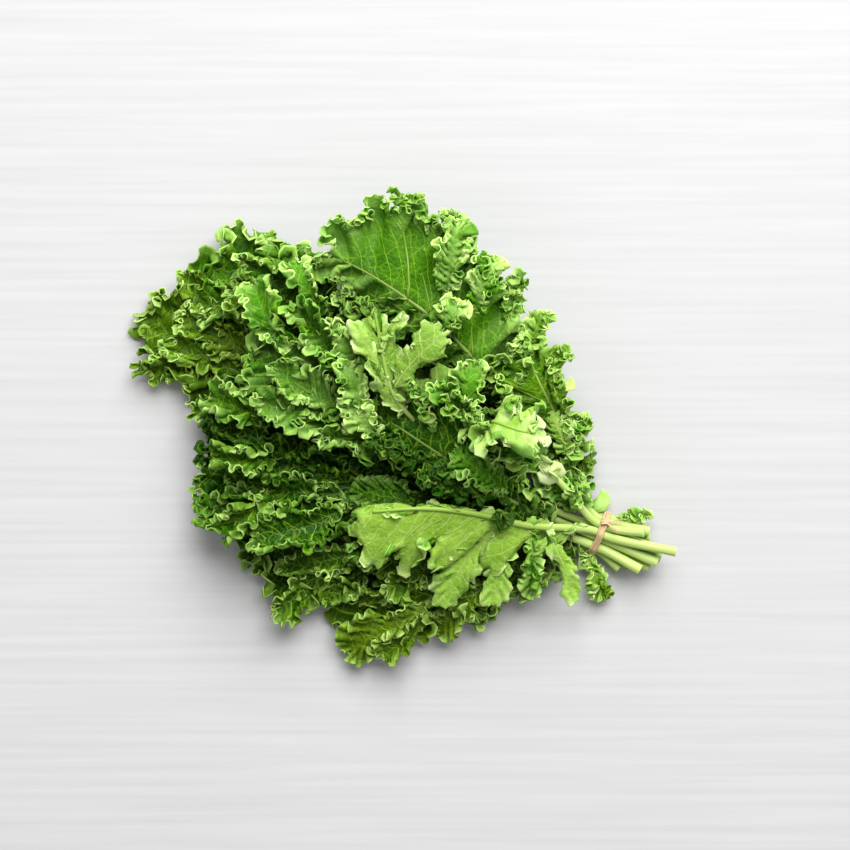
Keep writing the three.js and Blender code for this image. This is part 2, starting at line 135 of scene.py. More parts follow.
# Each route starts at the tie and goes to the leaf's tip. end is the stem's cut
# end, slot its place in the tie, bare the length of stem without blade.
# over lists the lobes that stand over the blade: half, place from foot to tip,
# half width, share of frill and where it leaves the blade from rib to margin;
# tips lists those over its tip: half, turn, half width and frill.
LEAVES = {
    "front": dict(
        end=(52, 8, 26), slot=(0, 20.1), bare=20, pale=True,
        route=[(-50, -13, 40), (-84, -18, 52), (-120, -28, 60), (-172, -54, 56)],
        width=(8, 58), rise=(70, 10), curl=(40, 16), roll=(180, 180), sweep=1.15,
        lobes=(5, 0.75, 1.9), wave=0.2, cup=0.3, growth=0.24, tint=0.1, shade=0, seed=11),
    "hand": dict(
        end=(42, 5, 18.5), slot=(3.2, 14.7), bare=170, pale=True,
        route=[(-50, 4, 24), (-100, 12, 34), (-142, 22, 54), (-168, 36, 76),
               (-187, 62, 85), (-204, 90, 84)],
        width=(29, 26), rise=(4, 4), curl=(10, 14), roll=(180, 180), taper=0.9, teeth=0.6,
        lobes=(1, 0), wave=0.5, cup=-0.2, growth=0.07, shade=0, dim=0.3, seed=12),
    "fold": dict(
        end=(27, 12, 25.5), slot=(6.4, 20.1), stem=2.8, bare=62, pale=True,
        route=[(-40, 22, 38), (-84, 38, 56), (-100, 43, 74), (-82, 44, 86), (-62, 47, 82)],
        width=(34, 34), rise=(0.1, 0.1), roll=(0, 0),
        lobes=(4, 0.65, 0.8), wave=0.7, cup=-0.6, growth=0.6, shade=0, rim_highlight_reach=4, seed=13),
    "centre": dict(
        end=(44, -4, 18.5), slot=(-3.2, 14.7), bare=40,
        route=[(-30, -3, 19), (-70, -1, 38), (-110, 7, 52), (-150, 15, 60), (-184, 22, 56)],
        width=(26, 52), rise=(-20, 18), curl=(-30, 20), roll=(0, 0),
        lobes=(4, 0.25), wave=0.3, shade=0.8, dim=(0.95, 0.05), seed=14,
        over=((-1, 0.2, 13, 1, 0.22), (-1, 0.5, 15, 1, 0.22), (-1, 0.8, 15, 1, 0.22),
              (1, 0.45, 15, 0.7, 0.6), (1, 0.68, 16, 0.7, 0.55), (1, 0.92, 15, 0.8, 0.3))),
    "top": dict(
        end=(31, 14, 18.5), slot=(9.6, 14.7), bare=100,
        route=[(-50, 34, 22), (-110, 70, 36), (-160, 92, 44), (-208, 104, 44),
               (-236, 107, 40), (-258, 107, 32)],
        width=(30, 71), rise=(-16, 6), curl=(-40, -10), roll=(0, 0), sweep=0.85, teeth=0.7,
        lobes=(4, 0.14), wave=0.1, cup=0.9, tint=0.1, shade=0.35, dim=(0.6, 0), rim_highlight_reach=3,
        fineness=1.0, lobe_lift=0.5, seed=15,
        over=((-1, 0.85, 12, 1, 0.6), (1, 0.06, 20, 0.8, 0.1), (1, 0.22, 24, 0.7, 0.2),
              (1, 0.42, 14, 1, 0.68), (1, 0.7, 15, 1, 0.7), (1, 0.84, 14, 1, 0.7))),
    "left_up": dict(
        end=(35, -13, 18.5), slot=(-9.6, 14.7), stem=3.1, bare=110,
        route=[(-35, -10, 18), (-85, 0, 28), (-165, 14, 42), (-230, 26, 50), (-274, 32, 46)],
        width=(46, 52), rise=(0.1, 0.1), curl=(20, 20), roll=(0, 0),
        wave=0.6, shade=0.4, dim=(0.35, 0), rim_highlight_reach=2.4, seed=16,
        over=((-1, 0.45, 24, 0.45, 0.22), (-1, 0.75, 24, 0.5, 0.22),
              (1, 0.3, 20, 0.6, 0.22), (1, 0.55, 22, 0.5, 0.22), (1, 0.8, 26, 0.4, 0.22)),
        tips=((-1, 0.3, 24, 0.5), (1, 0.35, 22, 0.6))),
    "left": dict(
        end=(41, -9.5, 11.5), slot=(-6.4, 9.3), bare=75,
        route=[(-80, -18, 17), (-155, -32, 26), (-224, -46, 30), (-284, -60, 20)],
        width=(52, 48), curl=(-10, -10), roll=(6, 0),
        wave=0.9, tint=0.1, shade=0.9, dim=(0.42, 0.95), rim_highlight_reach=0.75, seed=17,
        over=((-1, 0.1, 20, 0.6, 0.22), (-1, 0.35, 24, 0.4, 0.22), (-1, 0.6, 26, 0.5, 0.22),
              (-1, 0.85, 24, 0.4, 0.22), (1, 0.5, 22, 0.6, 0.22), (1, 0.85, 26, 0.45, 0.22)),
        tips=((-1, 0.25, 25, 0.45), (1, 0.35, 24, 0.5))),
    "right_low": dict(
        end=(25, 18, 12), slot=(12.8, 9.3), stem=2.6, bare=14,
        route=[(-22, 24, 17), (-42, 40, 22), (-56, 58, 21), (-64, 76, 13)],
        width=(26, 12), rise=(0.1, 0.1), curl=(-8, -8), roll=(0, 0),
        lobes=(3, 0.25), wave=0.8, shade=0.3, dim=(0.15, 0), seed=18,
        over=((-1, 0.2, 12, 1, 0.3), (1, 0.6, 14, 1, 0.3))),
    "bottom": dict(
        end=(29, -14, 4.4), slot=(-9.6, 3.8), bare=45,
        route=[(-42, -34, 9), (-82, -74, 14), (-112, -112, 12), (-142, -142, 2)],
        width=(27, 50), curl=(-12, -12), lobes=(3, 0.5), wave=0.35, cup=0.5, growth=0.6,
        tint=0.8, dim=(0.4, 0.5), rim_highlight_reach=0.6, fineness=1.1, seed=19,
        over=((-1, 0.3, 18, 0.5, 0.25), (-1, 0.7, 17, 0.4, 0.4), (1, 0.5, 20, 0.5, 0.25),
              (1, 0.8, 20, 0.4, 0.25))),
    "upper_left": dict(
        end=(46, -0.5, 11.5), slot=(0, 9.3), bare=120,
        route=[(-85, 17, 14), (-175, 44, 18), (-250, 67, 19), (-332, 80, 8)],
        width=(46, 38), wave=0.15, tint=0.2, dim=(0.35, 0), fineness=1.9, seed=20,
        over=((1, 0.45, 20, 0.45, 0.22), (1, 0.72, 17, 0.5, 0.22), (-1, 0.9, 24, 0.4, 0.22)),
        tips=((-1, 0.3, 24, 0.45), (1, 0.3, 22, 0.5))),
    "far_left": dict(
        end=(39, 4, 4.4), slot=(3.2, 3.8), bare=145,
        route=[(-80, 4, 5), (-160, 8, 8), (-235, 13, 11), (-304, 20, 9), (-357, 24, 2)],
        width=(42, 46), curl=(-18, -18), wave=0.55, cup=0.9, growth=0.9,
        tint=0.6, dim=(0.2, 0), rim_highlight_reach=0.8, fineness=1.8, seed=21,
        over=((-1, 0.6, 24, 0.5, 0.22), (-1, 0.87, 22, 0.4, 0.22), (1, 0.6, 24, 0.4, 0.22),
              (1, 0.87, 24, 0.5, 0.22)),
        tips=((-1, 0.3, 22, 0.5), (1, 0.3, 22, 0.6))),
    "lower_left": dict(
        end=(33, -5, 4.4), slot=(-3.2, 3.8), bare=70,
        route=[(-60, -24, 6), (-120, -52, 10), (-176, -84, 10), (-222, -114, 2)],
        width=(42, 52), curl=(-18, -18), wave=0.4, cup=0.9, growth=0.9,
        tint=0.5, shade=0.8, dim=(0.25, 0.5), rim_highlight_reach=0.7, fineness=1.7, seed=22,
        over=((-1, 0.35, 20, 0.5, 0.22), (-1, 0.6, 22, 0.4, 0.22), (-1, 0.85, 20, 0.5, 0.22)),
        tips=((-1, 0.25, 22, 0.4),)),
    "bottom_right": dict(
        end=(22, -18, 11), slot=(-12.8, 9.3), stem=2.6, bare=10,
        route=[(-22, -30, 9), (-42, -50, 10), (-60, -72, 8), (-76, -90, 2)],
        width=(21, 30), lobes=(3, 0.25), wave=0.7, cup=0.8, growth=0.9,
        tint=0.5, shade=0.6, dim=0.3, seed=23,
        over=((-1, 0.3, 12, 1, 0.3), (-1, 0.75, 13, 1, 0.3), (1, 0.6, 14, 0.8, 0.3))),
    "top_right": dict(
        end=(34, 9, 11.5), slot=(6.4, 9.3), bare=50,
        route=[(-46, 36, 12), (-96, 76, 15), (-134, 106, 14), (-160, 136, 4)],
        width=(50, 33), rise=(6, 2), wave=0.25, cup=0.9, growth=0.9,
        tint=0.3, shade=0.1, fineness=2.2, seed=24,
        over=((-1, 0.65, 20, 0.9, 0.3), (-1, 0.9, 16, 1, 0.4), (1, 0.5, 17, 0.7, 0.5)),
        tips=((-1, 0.3, 16, 0.7),)),
    "right": dict(
        end=(24, 13, 4.4), slot=(9.6, 3.8), bare=26,
        route=[(-28, 36, 9), (-58, 62, 34), (-84, 84, 46), (-104, 108, 42)],
        width=(44, 20), wave=0.05, tint=0.3, shade=0.2, fineness=1.0, lobe_lift=0.6, seed=25,
        over=((1, 0.35, 12, 1, 0.6), (1, 0.78, 15, 1, 0.6),
              (-1, 0.6, 15, 1, 0.6), (-1, 0.85, 15, 1, 0.6))),
}
LEAVES = {name: {**LEAF, **leaf} for name, leaf in LEAVES.items()}

# what a leaflet has where it gives nothing else; a pale one shows its underside
LEAFLET = dict(
    stem=0.6, bare=0, rise=(0.1, 0.1), curl=(18, 18), wave=0.3, cup=0.6, shade=0.2,
    teeth=0.25, fineness=1.15)

# leaflets on a leaf's stem, and large lobes that stand free of its blade
LEAFLETS = {
    "bottom_right": [dict(
        route=[(-5, -15, 9), (5, -25, 11), (14, -34, 9), (22, -41, 4)],
        width=(10, 11), curl=(10, 10), lobes=(3, 0.3), growth=0.9, tint=0.5, seed=31)],
    "right_low": [dict(
        route=[(8, 14, 10), (15, 19, 14), (23, 22, 15), (31, 24, 12)],
        width=(7, 7), curl=(12, 12), lobes=(3, 0.3), growth=0.9, tint=0.2, seed=32), dict(
        route=[(-42, 42, 30), (-51, 51, 38), (-60, 60, 40), (-67, 70, 36)],
        width=(14, 14), lobes=(3, 0.5), growth=0.7, pale=True, seed=33)],
    "centre": [dict(
        route=[(-24, 8, 20), (-36, 16, 28), (-48, 22, 32), (-60, 28, 32)],
        width=(13, 13), lobes=(3, 0.3), growth=0.9, dim=0.3, seed=34), dict(
        route=[(-112, 34, 58), (-118, 48, 64), (-123, 62, 64), (-127, 78, 58)],
        width=(16, 16), lobes=(2, 0.3), growth=0.5, seed=49), dict(
        route=[(-70, 4, 40), (-86, 8, 53), (-102, 12, 60), (-118, 16, 58)],
        width=(17, 17), lobes=(3, 0.3), growth=0.9, dim=0.3, seed=57)],
    "front": [dict(
        route=[(-66, -15, 42), (-76, -36, 42), (-82, -62, 40), (-83, -94, 35)],
        width=(11, 12), taper=-0.6, lobes=(1, 0), growth=0.1, teeth=0.8, pale=True, seed=37), dict(
        route=[(-58, -16, 37), (-60, -32, 38), (-56, -52, 36), (-51, -78, 31)],
        width=(11, 11), taper=-0.5, lobes=(1, 0), growth=0.1, teeth=0.8, pale=True, seed=38), dict(
        route=[(-46, -12, 36), (-42, -26, 36), (-35, -42, 31), (-28, -60, 20)],
        width=(11, 10), lobes=(3, 0.4), growth=0.8, seed=39), dict(
        route=[(-38, -10, 34), (-27, -20, 37), (-13, -34, 34), (0, -54, 27)],
        width=(9, 10), taper=-0.2, lobes=(1, 0), growth=0.08, teeth=0.8, pale=True, seed=40)],
    "hand": [dict(
        route=[(-169, 36, 76), (-165, 54, 84), (-158, 72, 86), (-149, 89, 80)],
        width=(18, 19), taper=-0.2, lobes=(2, 0.4, 2), growth=0.12, teeth=0.8, dim=0.35,
        pale=True, seed=41), dict(
        route=[(-184, 58, 85), (-184, 70, 88), (-182, 81, 88), (-180, 92, 85)],
        width=(8, 9), lobes=(1, 0), growth=0.1, teeth=0.8, dim=0.2, pale=True, seed=42), dict(
        route=[(-169, 36, 76), (-184, 48, 87), (-198, 60, 90), (-212, 72, 86)],
        width=(9, 10), lobes=(1, 0), growth=0.1, teeth=0.8, pale=True, seed=43), dict(
        route=[(-158, 34, 66), (-150, 44, 68), (-142, 54, 66), (-134, 66, 60)],
        width=(17, 17), lobes=(2, 0.3), growth=0.12, shade=0.5, dim=0.3, pale=True, seed=48)],
    "top": [dict(
        route=[(-160, 110, 46), (-164, 128, 56), (-168, 146, 60), (-170, 162, 54)],
        width=(16, 17), lobes=(3, 0.4), growth=0.8, rim_highlight_reach=3, seed=51), dict(
        route=[(-138, 106, 44), (-139, 120, 54), (-140, 134, 57), (-140, 146, 50)],
        width=(15, 15), lobes=(3, 0.4), growth=0.8, rim_highlight_reach=3, seed=52), dict(
        route=[(-158, 78, 50), (-154, 88, 60), (-152, 100, 64), (-150, 112, 60)],
        width=(14, 14), lobes=(3, 0.4), growth=1, rim_highlight_reach=2, seed=53)],
    "left": [dict(
        route=[(-236, -8, 36), (-252, -10, 48), (-268, -12, 50), (-284, -12, 40)],
        width=(19, 20), rise=(25, 20), lobes=(3, 0.4), growth=0.45, tint=0.2, dim=0.4,
        rim_highlight_reach=0.75, seed=54), dict(
        route=[(-226, -34, 36), (-239, -40, 48), (-252, -45, 51), (-265, -50, 42)],
        width=(19, 19), rise=(30, 30), lobes=(3, 0.4), growth=0.4, tint=0.3, dim=0.45,
        rim_highlight_reach=0.75, seed=55), dict(
        route=[(-218, -58, 34), (-226, -70, 44), (-234, -83, 42), (-241, -97, 28)],
        width=(18, 20), rise=(20, 30), lobes=(3, 0.4), growth=0.45, tint=0.4, dim=0.45,
        rim_highlight_reach=0.75, seed=56), dict(
        route=[(-58, -8, 18), (-70, -9, 21), (-82, -10, 22), (-94, -12, 20)],
        width=(16, 16), lobes=(2, 0.1), growth=0.5, dim=0.8, fineness=1.6, seed=59), dict(
        route=[(-110, -20, 30), (-130, -25, 37), (-150, -31, 39), (-170, -37, 34)],
        width=(16, 15), lobes=(3, 0.4), growth=0.8, dim=0.6, fineness=1.3, seed=60)],
    "upper_left": [dict(
        route=[(-158, 60, 24), (-168, 70, 27), (-178, 80, 27), (-188, 90, 22)],
        width=(22, 22), lobes=(2, 0.1), growth=0.5, dim=0.8, fineness=1.6, seed=58), dict(
        route=[(-230, 70, 34), (-243, 77, 43), (-256, 86, 45), (-267, 95, 38)],
        width=(15, 14), lobes=(3, 0.4), growth=0.45, seed=47)],
    "left_up": [dict(
        route=[(-174, 16, 62), (-185, 24, 70), (-196, 34, 73), (-206, 45, 70)],
        width=(16, 15), lobes=(3, 0.4), growth=0.5, rim_highlight_reach=3, seed=44), dict(
        route=[(-164, 2, 58), (-175, 9, 66), (-186, 16, 68), (-196, 24, 64)],
        width=(15, 16), lobes=(3, 0.4), growth=0.5, rim_highlight_reach=3, seed=45), dict(
        route=[(-246, 36, 52), (-259, 47, 57), (-272, 58, 54), (-284, 70, 44)],
        width=(22, 20), rise=(28, 28), lobes=(3, 0.2), growth=0.4, seed=46)],
    "bottom": [dict(
        route=[(-90, -90, 18), (-105, -108, 22), (-120, -127, 18), (-133, -147, 7)],
        width=(12, 20), taper=-0.2, lobes=(3, 0.4), growth=0.5, tint=0.8, dim=0.4,
        rim_highlight_reach=0.6, seed=61), dict(
        route=[(-62, -66, 18), (-69, -80, 20), (-75, -94, 15), (-79, -108, 5)],
        width=(13, 14), taper=-0.3, lobes=(2, 0.3), growth=0.4, tint=0.8, dim=0.3,
        rim_highlight_reach=0.6, seed=50)],
    "right": [dict(
        route=[(-90, 94, 40), (-93, 105, 44), (-95, 116, 43), (-94, 127, 36)],
        width=(12, 13), lobes=(3, 0.4), growth=0.9, tint=0.3, seed=62)],
}

# where the tie's middle stands in the part
tie_low, tie_high = [np.array(corner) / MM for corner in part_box("tie")]
BUNCH = np.array([tie_low[0] + KNOT_HALF, (tie_low[1] + tie_high[1]) / 2, 0.0])


def unit(vectors):
    """The vectors, each brought to length 1."""
    size = np.linalg.norm(vectors, axis=-1, keepdims=True)
    return vectors / np.maximum(size, 1e-9)


def run_along(points):
    """The length run at each point of a line."""
    steps = np.linalg.norm(np.diff(points, axis=0), axis=1)
    return np.concatenate([[0.0], np.cumsum(steps)])


def smooth_noise(rng, at, wavelength):
    """Smooth random values between -1 and 1 along a line."""
    place = (at - at.min()) / wavelength + 1
    knots = rng.uniform(-1, 1, int(place.max()) + 4)
    i = place.astype(int)
    f = place - i
    a, b, c, d = knots[i - 1], knots[i], knots[i + 1], knots[i + 2]
    return b + 0.5 * f * (c - a + f * (2 * a - 5 * b + 4 * c - d + f * (3 * (b - c) + d - a)))


# ---- the route of a stem ----


def smooth_route(stops):
    """A centripetal Catmull-Rom curve through the stops."""
    ends = np.vstack([2 * stops[0] - stops[1], stops, 2 * stops[-1] - stops[-2]])
    at = np.linspace(0, len(stops) - 1, ROUTE_STEPS + 1)
    i = np.minimum(at.astype(int), len(stops) - 2)
    w = (at - i)[:, None]
    p0, p1, p2, p3 = ends[i], ends[i + 1], ends[i + 2], ends[i + 3]
    g1, g2, g3 = [
        np.sqrt(np.linalg.norm(b - a, axis=1))[:, None]
        for a, b in ((p0, p1), (p1, p2), (p2, p3))
    ]
    t1 = ((p1 - p0) / g1 - (p2 - p0) / (g1 + g2) + (p2 - p1) / g2) * g2
    t2 = ((p2 - p1) / g2 - (p3 - p1) / (g2 + g3) + (p3 - p2) / g3) * g2
    square = 3 * (p2 - p1) - 2 * t1 - t2
    cube = 2 * (p1 - p2) + t1 + t2
    return p1 + t1 * w + square * w**2 + cube * w**3


class Spine:
    """A route from foot to tip, with a frame carried along it."""

    def __init__(self, points, rights, stem, roll=(0, 0), bare=0.0, tie_at=0):
        self.points, self.rights = points, rights
        self.lengths = run_along(points)
        self.tangents = route_tangents(points)
        self.tie = self.lengths[tie_at]
        self.foot = self.tie + bare
        self.total = self.lengths[-1]
        self.blade = self.total - self.foot
        self.roll = roll
        self.stem = stem

    def frame(self, length):
        """Place, right and up at these lengths along the route."""

        def read(values):
            return np.stack([np.interp(length, self.lengths, v) for v in values.T], -1)

        tangent = unit(read(self.tangents))
        right = unit(read(self.rights))
        beyond = length - np.clip(length, 0, self.total)
        point = read(self.points) + tangent * beyond[..., None]
        along = np.clip((length - self.foot) / self.blade, 0, 1)
        roll = np.radians(self.roll[0] + (self.roll[1] - self.roll[0]) * along)[..., None]
        right = right * np.cos(roll) - np.cross(tangent, right) * np.sin(roll)
        return point, right, np.cross(right, tangent)

    def radius(self, length):
        """Half the stem's thickness: swollen at the cut end, thin at the rib's tip."""
        swell = STEM_SWELL + (1 - STEM_SWELL) * length / max(self.tie, 1e-6)
        rib_end = self.foot + self.blade * RIB_REACH
        share = np.clip((length - self.tie) / (rib_end - self.tie), 0, 1)
        return self.stem * np.where(length < self.tie, swell, 1 + (RIB_TIP - 1) * share)


def route_tangents(points):
    """The direction at each point of a route."""
    ahead = np.vstack([points[1:], points[-1:]])
    behind = np.vstack([points[:1], points[:-1]])
    return unit(ahead - behind)


def stem_spine(leaf):
    """The spine of a leaf, through its place in the tie if it has one."""
    stops = list(leaf["route"])
    if "slot" in leaf:
        y, z = leaf["slot"]
        stops = [leaf["end"], (TIE_STRAIGHT, y, z), (-TIE_STRAIGHT, y, z)] + stops
    points = smooth_route(np.array(stops, float))
    tangents = route_tangents(points)
    rights = [unit(np.cross(tangents[0], (0, 0, 1)))]
    for tangent in tangents[1:]:
        rights.append(unit(rights[-1] - tangent * np.dot(rights[-1], tangent)))
    at_tie = int(np.argmax(points[:, 0] <= 0)) if "slot" in leaf else 0
    return Spine(points, np.array(rights), leaf["stem"], leaf["roll"], leaf["bare"], at_tie)


def lobe_spine(leaf, spine, start, end, side, lift):
    """The spine of a lobe that leaves the blade at start and rises over it."""
    share = np.linspace(0, 1, LOBE_STEPS)
    u = start[0] + (end[0] - start[0]) * share
    r = start[1] + (end[1] - start[1]) * share
    sides = np.full(LOBE_STEPS, float(side))
    points, length, _ = lay_blade(leaf, spine, u, r, sides)
    beside, _, _ = lay_blade(leaf, spine, u - LOBE_PROBE[0], r, sides)
    further, _, _ = lay_blade(leaf, spine, u, r + LOBE_PROBE[1], sides)
    normals = unit(np.cross(beside - points, further - points))
    _, _, upward = spine.frame(length)
    normals = normals * np.sign((normals * upward).sum(1))[:, None] + LOBE_UPRIGHT * upward
    for _ in range(LOBE_PASSES):
        normals = unit(np.vstack([normals[:1], normals[:-1]]) + normals
                       + np.vstack([normals[1:], normals[-1:]]))
    points = points + normals * (lift * (0.15 + 0.85 * share**1.3))[:, None]
    rights = unit(np.cross(route_tangents(points), normals))
    return Spine(points, rights, LOBE_VEIN)


# ---- the sheet of a leaf ----


def fullness(leaf, u):
    """The blade's width from foot to tip, as a share of the width given."""
    full = 1.4 * (0.1 + 0.9 * u**0.6) * np.sqrt(np.maximum(0, 1 - u**3.5))
    return full * (1 - leaf["taper"] * u)


def lobe_cut(u, lobes, r):
    """Rounded lobes with narrow notches between them."""
    count, depth, *narrow = lobes
    dip = (0.5 + 0.5 * np.cos(TAU * count * u)) ** (narrow[0] if narrow else NOTCH_NARROW)
    return 1 - depth * dip * (1 - u**4) * np.clip(r, 0, 1)


def lay_blade(leaf, spine, u, r, side):
    """The blade before it frills: u goes foot to tip, r from rib to margin."""
    half = (side > 0).astype(int)
    width = np.array(leaf["width"], float)[half]
    along = 1 - (1 - u) ** leaf["sweep"]
    out = r * width * fullness(leaf, u) * lobe_cut(u, leaf["lobes"], r)
    length = spine.foot + spine.blade * ((1 - r) * RIB_REACH * u + r * along)
    point, right, up = spine.frame(length)
    point = point + up * (BLADE_LIFT * spine.radius(length))[:, None]
    rise = np.radians(np.array(leaf["rise"], float)[half])
    bend = np.radians(np.array(leaf["curl"], float)[half]) / width
    angle = rise + bend * out
    point = point + right * (side * (np.sin(angle) - np.sin(rise)) / bend)[:, None]
    point = point + up * ((np.cos(rise) - np.cos(angle)) / bend)[:, None]
    turns = spine.blade * along / WAVE_SPACING + leaf["wave"] + 0.4 * half * (1 - u**4)
    ripple = WAVE_HEIGHT * r**2 * np.minimum(1, 4 * u) * np.sin(TAU * turns)
    point = point - right * (side * np.sin(angle) * ripple)[:, None]
    point = point + up * (np.cos(angle) * ripple)[:, None]
    return point, length, side * out


def row_distances(width, coarse):
    """Distances of the rows from the margin, which is 0, to the rib."""
    out = [0.0]
    for step in ROW_STEPS:
        if out[-1] + step * coarse < width * 0.8:
            out.append(out[-1] + step * coarse)
    rest = width - out[-1]
    count = max(2, round(rest / INNER_ROW / coarse))
    return np.array(out + [out[-1] + rest * (i + 1) / count for i in range(count)])


class Blade:
    """Rows of vertices from the rib out, each wrapped round the leaf's tip."""

    def __init__(self, leaf, spine):
        self.leaf, self.spine = leaf, spine
        width = max(leaf["width"])
        coarse = leaf["fineness"]
        distances = row_distances(width, coarse)[::-1]
        fine = np.linspace(0, 1, OUTLINE_STEPS + 1)
        fine_side = np.where(fine < 0.5, -1.0, 1.0)
        rim, _, _ = lay_blade(
            leaf, spine, 1 - np.abs(2 * fine - 1), np.ones(OUTLINE_STEPS + 1), fine_side)
        run = run_along(rim)
        tip = run[TIP_STEP] / run[-1]
        grown = run[-1] * (1 + 0.7 * GROWTH * leaf["growth"])
        most = max(3, round(grown / MARGIN_STEP / coarse / MARGIN_BLOCK)) * MARGIN_BLOCK
        self.rows, parts, start = [], [], 0
        for k, distance in enumerate(distances):
            share = 1 if distance < FULL_BAND else 2 if distance < HALF_BAND else 4 \
                if distance < QUARTER_BAND else 8
            count = most // share
            even = np.linspace(0, 1, count + 1)
            place = np.where(even < 0.5, even * 2 * tip, tip + (even - 0.5) * 2 * (1 - tip))
            t = np.interp(place, run / run[-1], fine)
            row = start + np.arange(count + 1)
            if k == 0:
                # both halves share the rib's vertices
                row = start + np.minimum(np.arange(count + 1), count - np.arange(count + 1))
                t, even = t[: count // 2 + 1], even[: count // 2 + 1]
            self.rows.append(row)
            r = np.full(len(t), 1 - distance / width)
            parts.append(np.stack([1 - np.abs(2 * t - 1), r, even, np.full(len(t), k)], 1))
            start += len(t)
        self.u, self.r, self.even, self.level = np.concatenate(parts).T
        self.side = np.where(self.even < 0.5, -1.0, 1.0)
        self.flat, self.length, self.out = lay_blade(leaf, spine, self.u, self.r, self.side)
        self.quads, self.tris = self.faces()
        self.width = self.abreast(self.rim_width())
        self.depth = (1 - self.r) * self.width
        self.arc = self.abreast(run_along(self.flat[self.rows[-1]]))

    def rim_width(self):
        """How far each place on the margin is from the rib."""
        rib, rim = self.flat[self.rows[0]], self.flat[self.rows[-1]]
        even = np.linspace(0, 1, len(rim))
        at_rib = np.stack([np.interp(even, np.linspace(0, 1, len(rib)), c) for c in rib.T], 1)
        return np.linalg.norm(rim - at_rib, axis=1)

    def abreast(self, rim_values):
        """Each vertex takes the margin's value at its own place in its row."""
        return np.interp(self.even, np.linspace(0, 1, len(rim_values)), rim_values)

    def faces(self):
        """Quads between rows of the same count, triangles where a row has twice as many."""
        quads, tris = [], []
        for a, b in zip(self.rows[:-1], self.rows[1:]):
            if len(a) == len(b):
                quads.append(np.stack([a[:-1], a[1:], b[1:], b[:-1]], 1))
            else:
                first, middle, last = b[:-2:2], b[1::2], b[2::2]
                tris.append(np.stack([a[:-1], a[1:], middle], 1))
                tris.append(np.stack([a[:-1], middle, first], 1))
                tris.append(np.stack([a[1:], last, middle], 1))
        return np.concatenate(quads), np.concatenate(tris or [np.zeros((0, 3), int)])

    def normals(self, points):
        """The sheet's upward side at each vertex."""
        thirds = np.concatenate([self.quads[:, [0, 1, 2]], self.quads[:, [0, 2, 3]], self.tris])
        a, b, c = points[thirds[:, 0]], points[thirds[:, 1]], points[thirds[:, 2]]
        face = np.cross(b - a, c - a)
        total = np.zeros_like(points)
        for axis in range(3):
            for corner in range(3):
                total[:, axis] += np.bincount(thirds[:, corner], face[:, axis], len(points))
        return unit(total)

    def row_directions(self, points):
        """The direction of its row at each vertex."""
        out = np.zeros_like(points)
        for k, row in enumerate(self.rows):
            if k == 0:
                row = row[: len(row) // 2 + 1]
            out[row] = np.gradient(points[row], axis=0)
        return unit(out)

    def even_out(self, values, passes):
        """Evens values out along each row."""
        values = values.copy()
        for row in self.rows[1:]:
            line = values[row]
            for _ in range(max(1, passes * len(row) // len(self.rows[-1]))):
                line[1:-1] = 0.25 * line[:-2] + 0.5 * line[1:-1] + 0.25 * line[2:]
            values[row] = line
        return values

    def notch(self, outward, rng):
        """Cuts lobes and teeth into the margin."""
        for spacing, depth, reach in TEETH:
            bite = np.maximum(0, 0.5 + 0.9 * smooth_noise(rng, self.arc, spacing / 2))
            near = np.clip(1 - self.depth / np.minimum(reach, 0.8 * self.width + 0.1), 0, 1)
            bite = bite * self.leaf["teeth"]
            self.flat = self.flat - outward * (depth * bite * near**1.5)[:, None]

    def curl_margin(self, normals, outward, cup, reach):
        """Rolls the outer band of the sheet up towards its upper side."""
        steps = (np.arange(CURL_STEPS) + 0.5) / CURL_STEPS
        inner = np.maximum(reach - self.depth, 0)
        into = inner[:, None] * steps / np.maximum(reach, 1e-3)[:, None]
        turn = np.radians(cup)[:, None] * into * into * (3 - 2 * into)
        lift = inner * np.sin(turn).mean(1)
        back = inner * (1 - np.cos(turn)).mean(1)
        return self.flat + normals * lift[:, None] - outward * back[:, None]

    def ruffle(self, points, rng, spacing, height, lean, reach):
        """Waves along the margin that fade inwards."""
        noise = [smooth_noise(rng, self.arc, spacing * far) for far in (2.1, 1.7, 1.3, 1.0)]
        reach = np.minimum(reach, DEEPEST * self.width + 1) * (1 + 0.35 * noise[2])
        fade = np.clip(1 - self.depth / reach, 0, 1) ** 1.5
        phase = TAU * self.arc / spacing + 2.6 * noise[0] + 0.8 * noise[3] * (1 - fade)
        ends = np.minimum(1, np.minimum(self.arc, self.arc.max() - self.arc) / 25)
        size = fade * ends * (1 + 0.5 * noise[1]) * np.minimum(1, self.width / 30)
        size = size * min(1, 0.1 + self.leaf["growth"])
        points = points + self.normals(points) * (size * height * np.sin(phase))[:, None]
        lean = -size * lean * np.sin(2 * phase)
        return points + self.row_directions(points) * lean[:, None]

    def springs(self):
        """Pairs of vertices with the distance that each wants to keep."""
        flat, rows = self.flat, self.rows
        reach = np.minimum(GROWTH_REACH, DEEPEST * self.width + 1)
        growth = 1 + GROWTH * self.leaf["growth"] * np.exp(-self.depth / reach)
        pairs = []

        def add(a, b, length, weight):
            pairs.append(np.stack([a, b, length, np.full(len(a), weight)], 1))

        def chord(a, b):
            size = np.linalg.norm(flat[a] - flat[b], axis=1)
            return np.clip(size, 0.2, 1.8 * np.median(size) + 0.2)

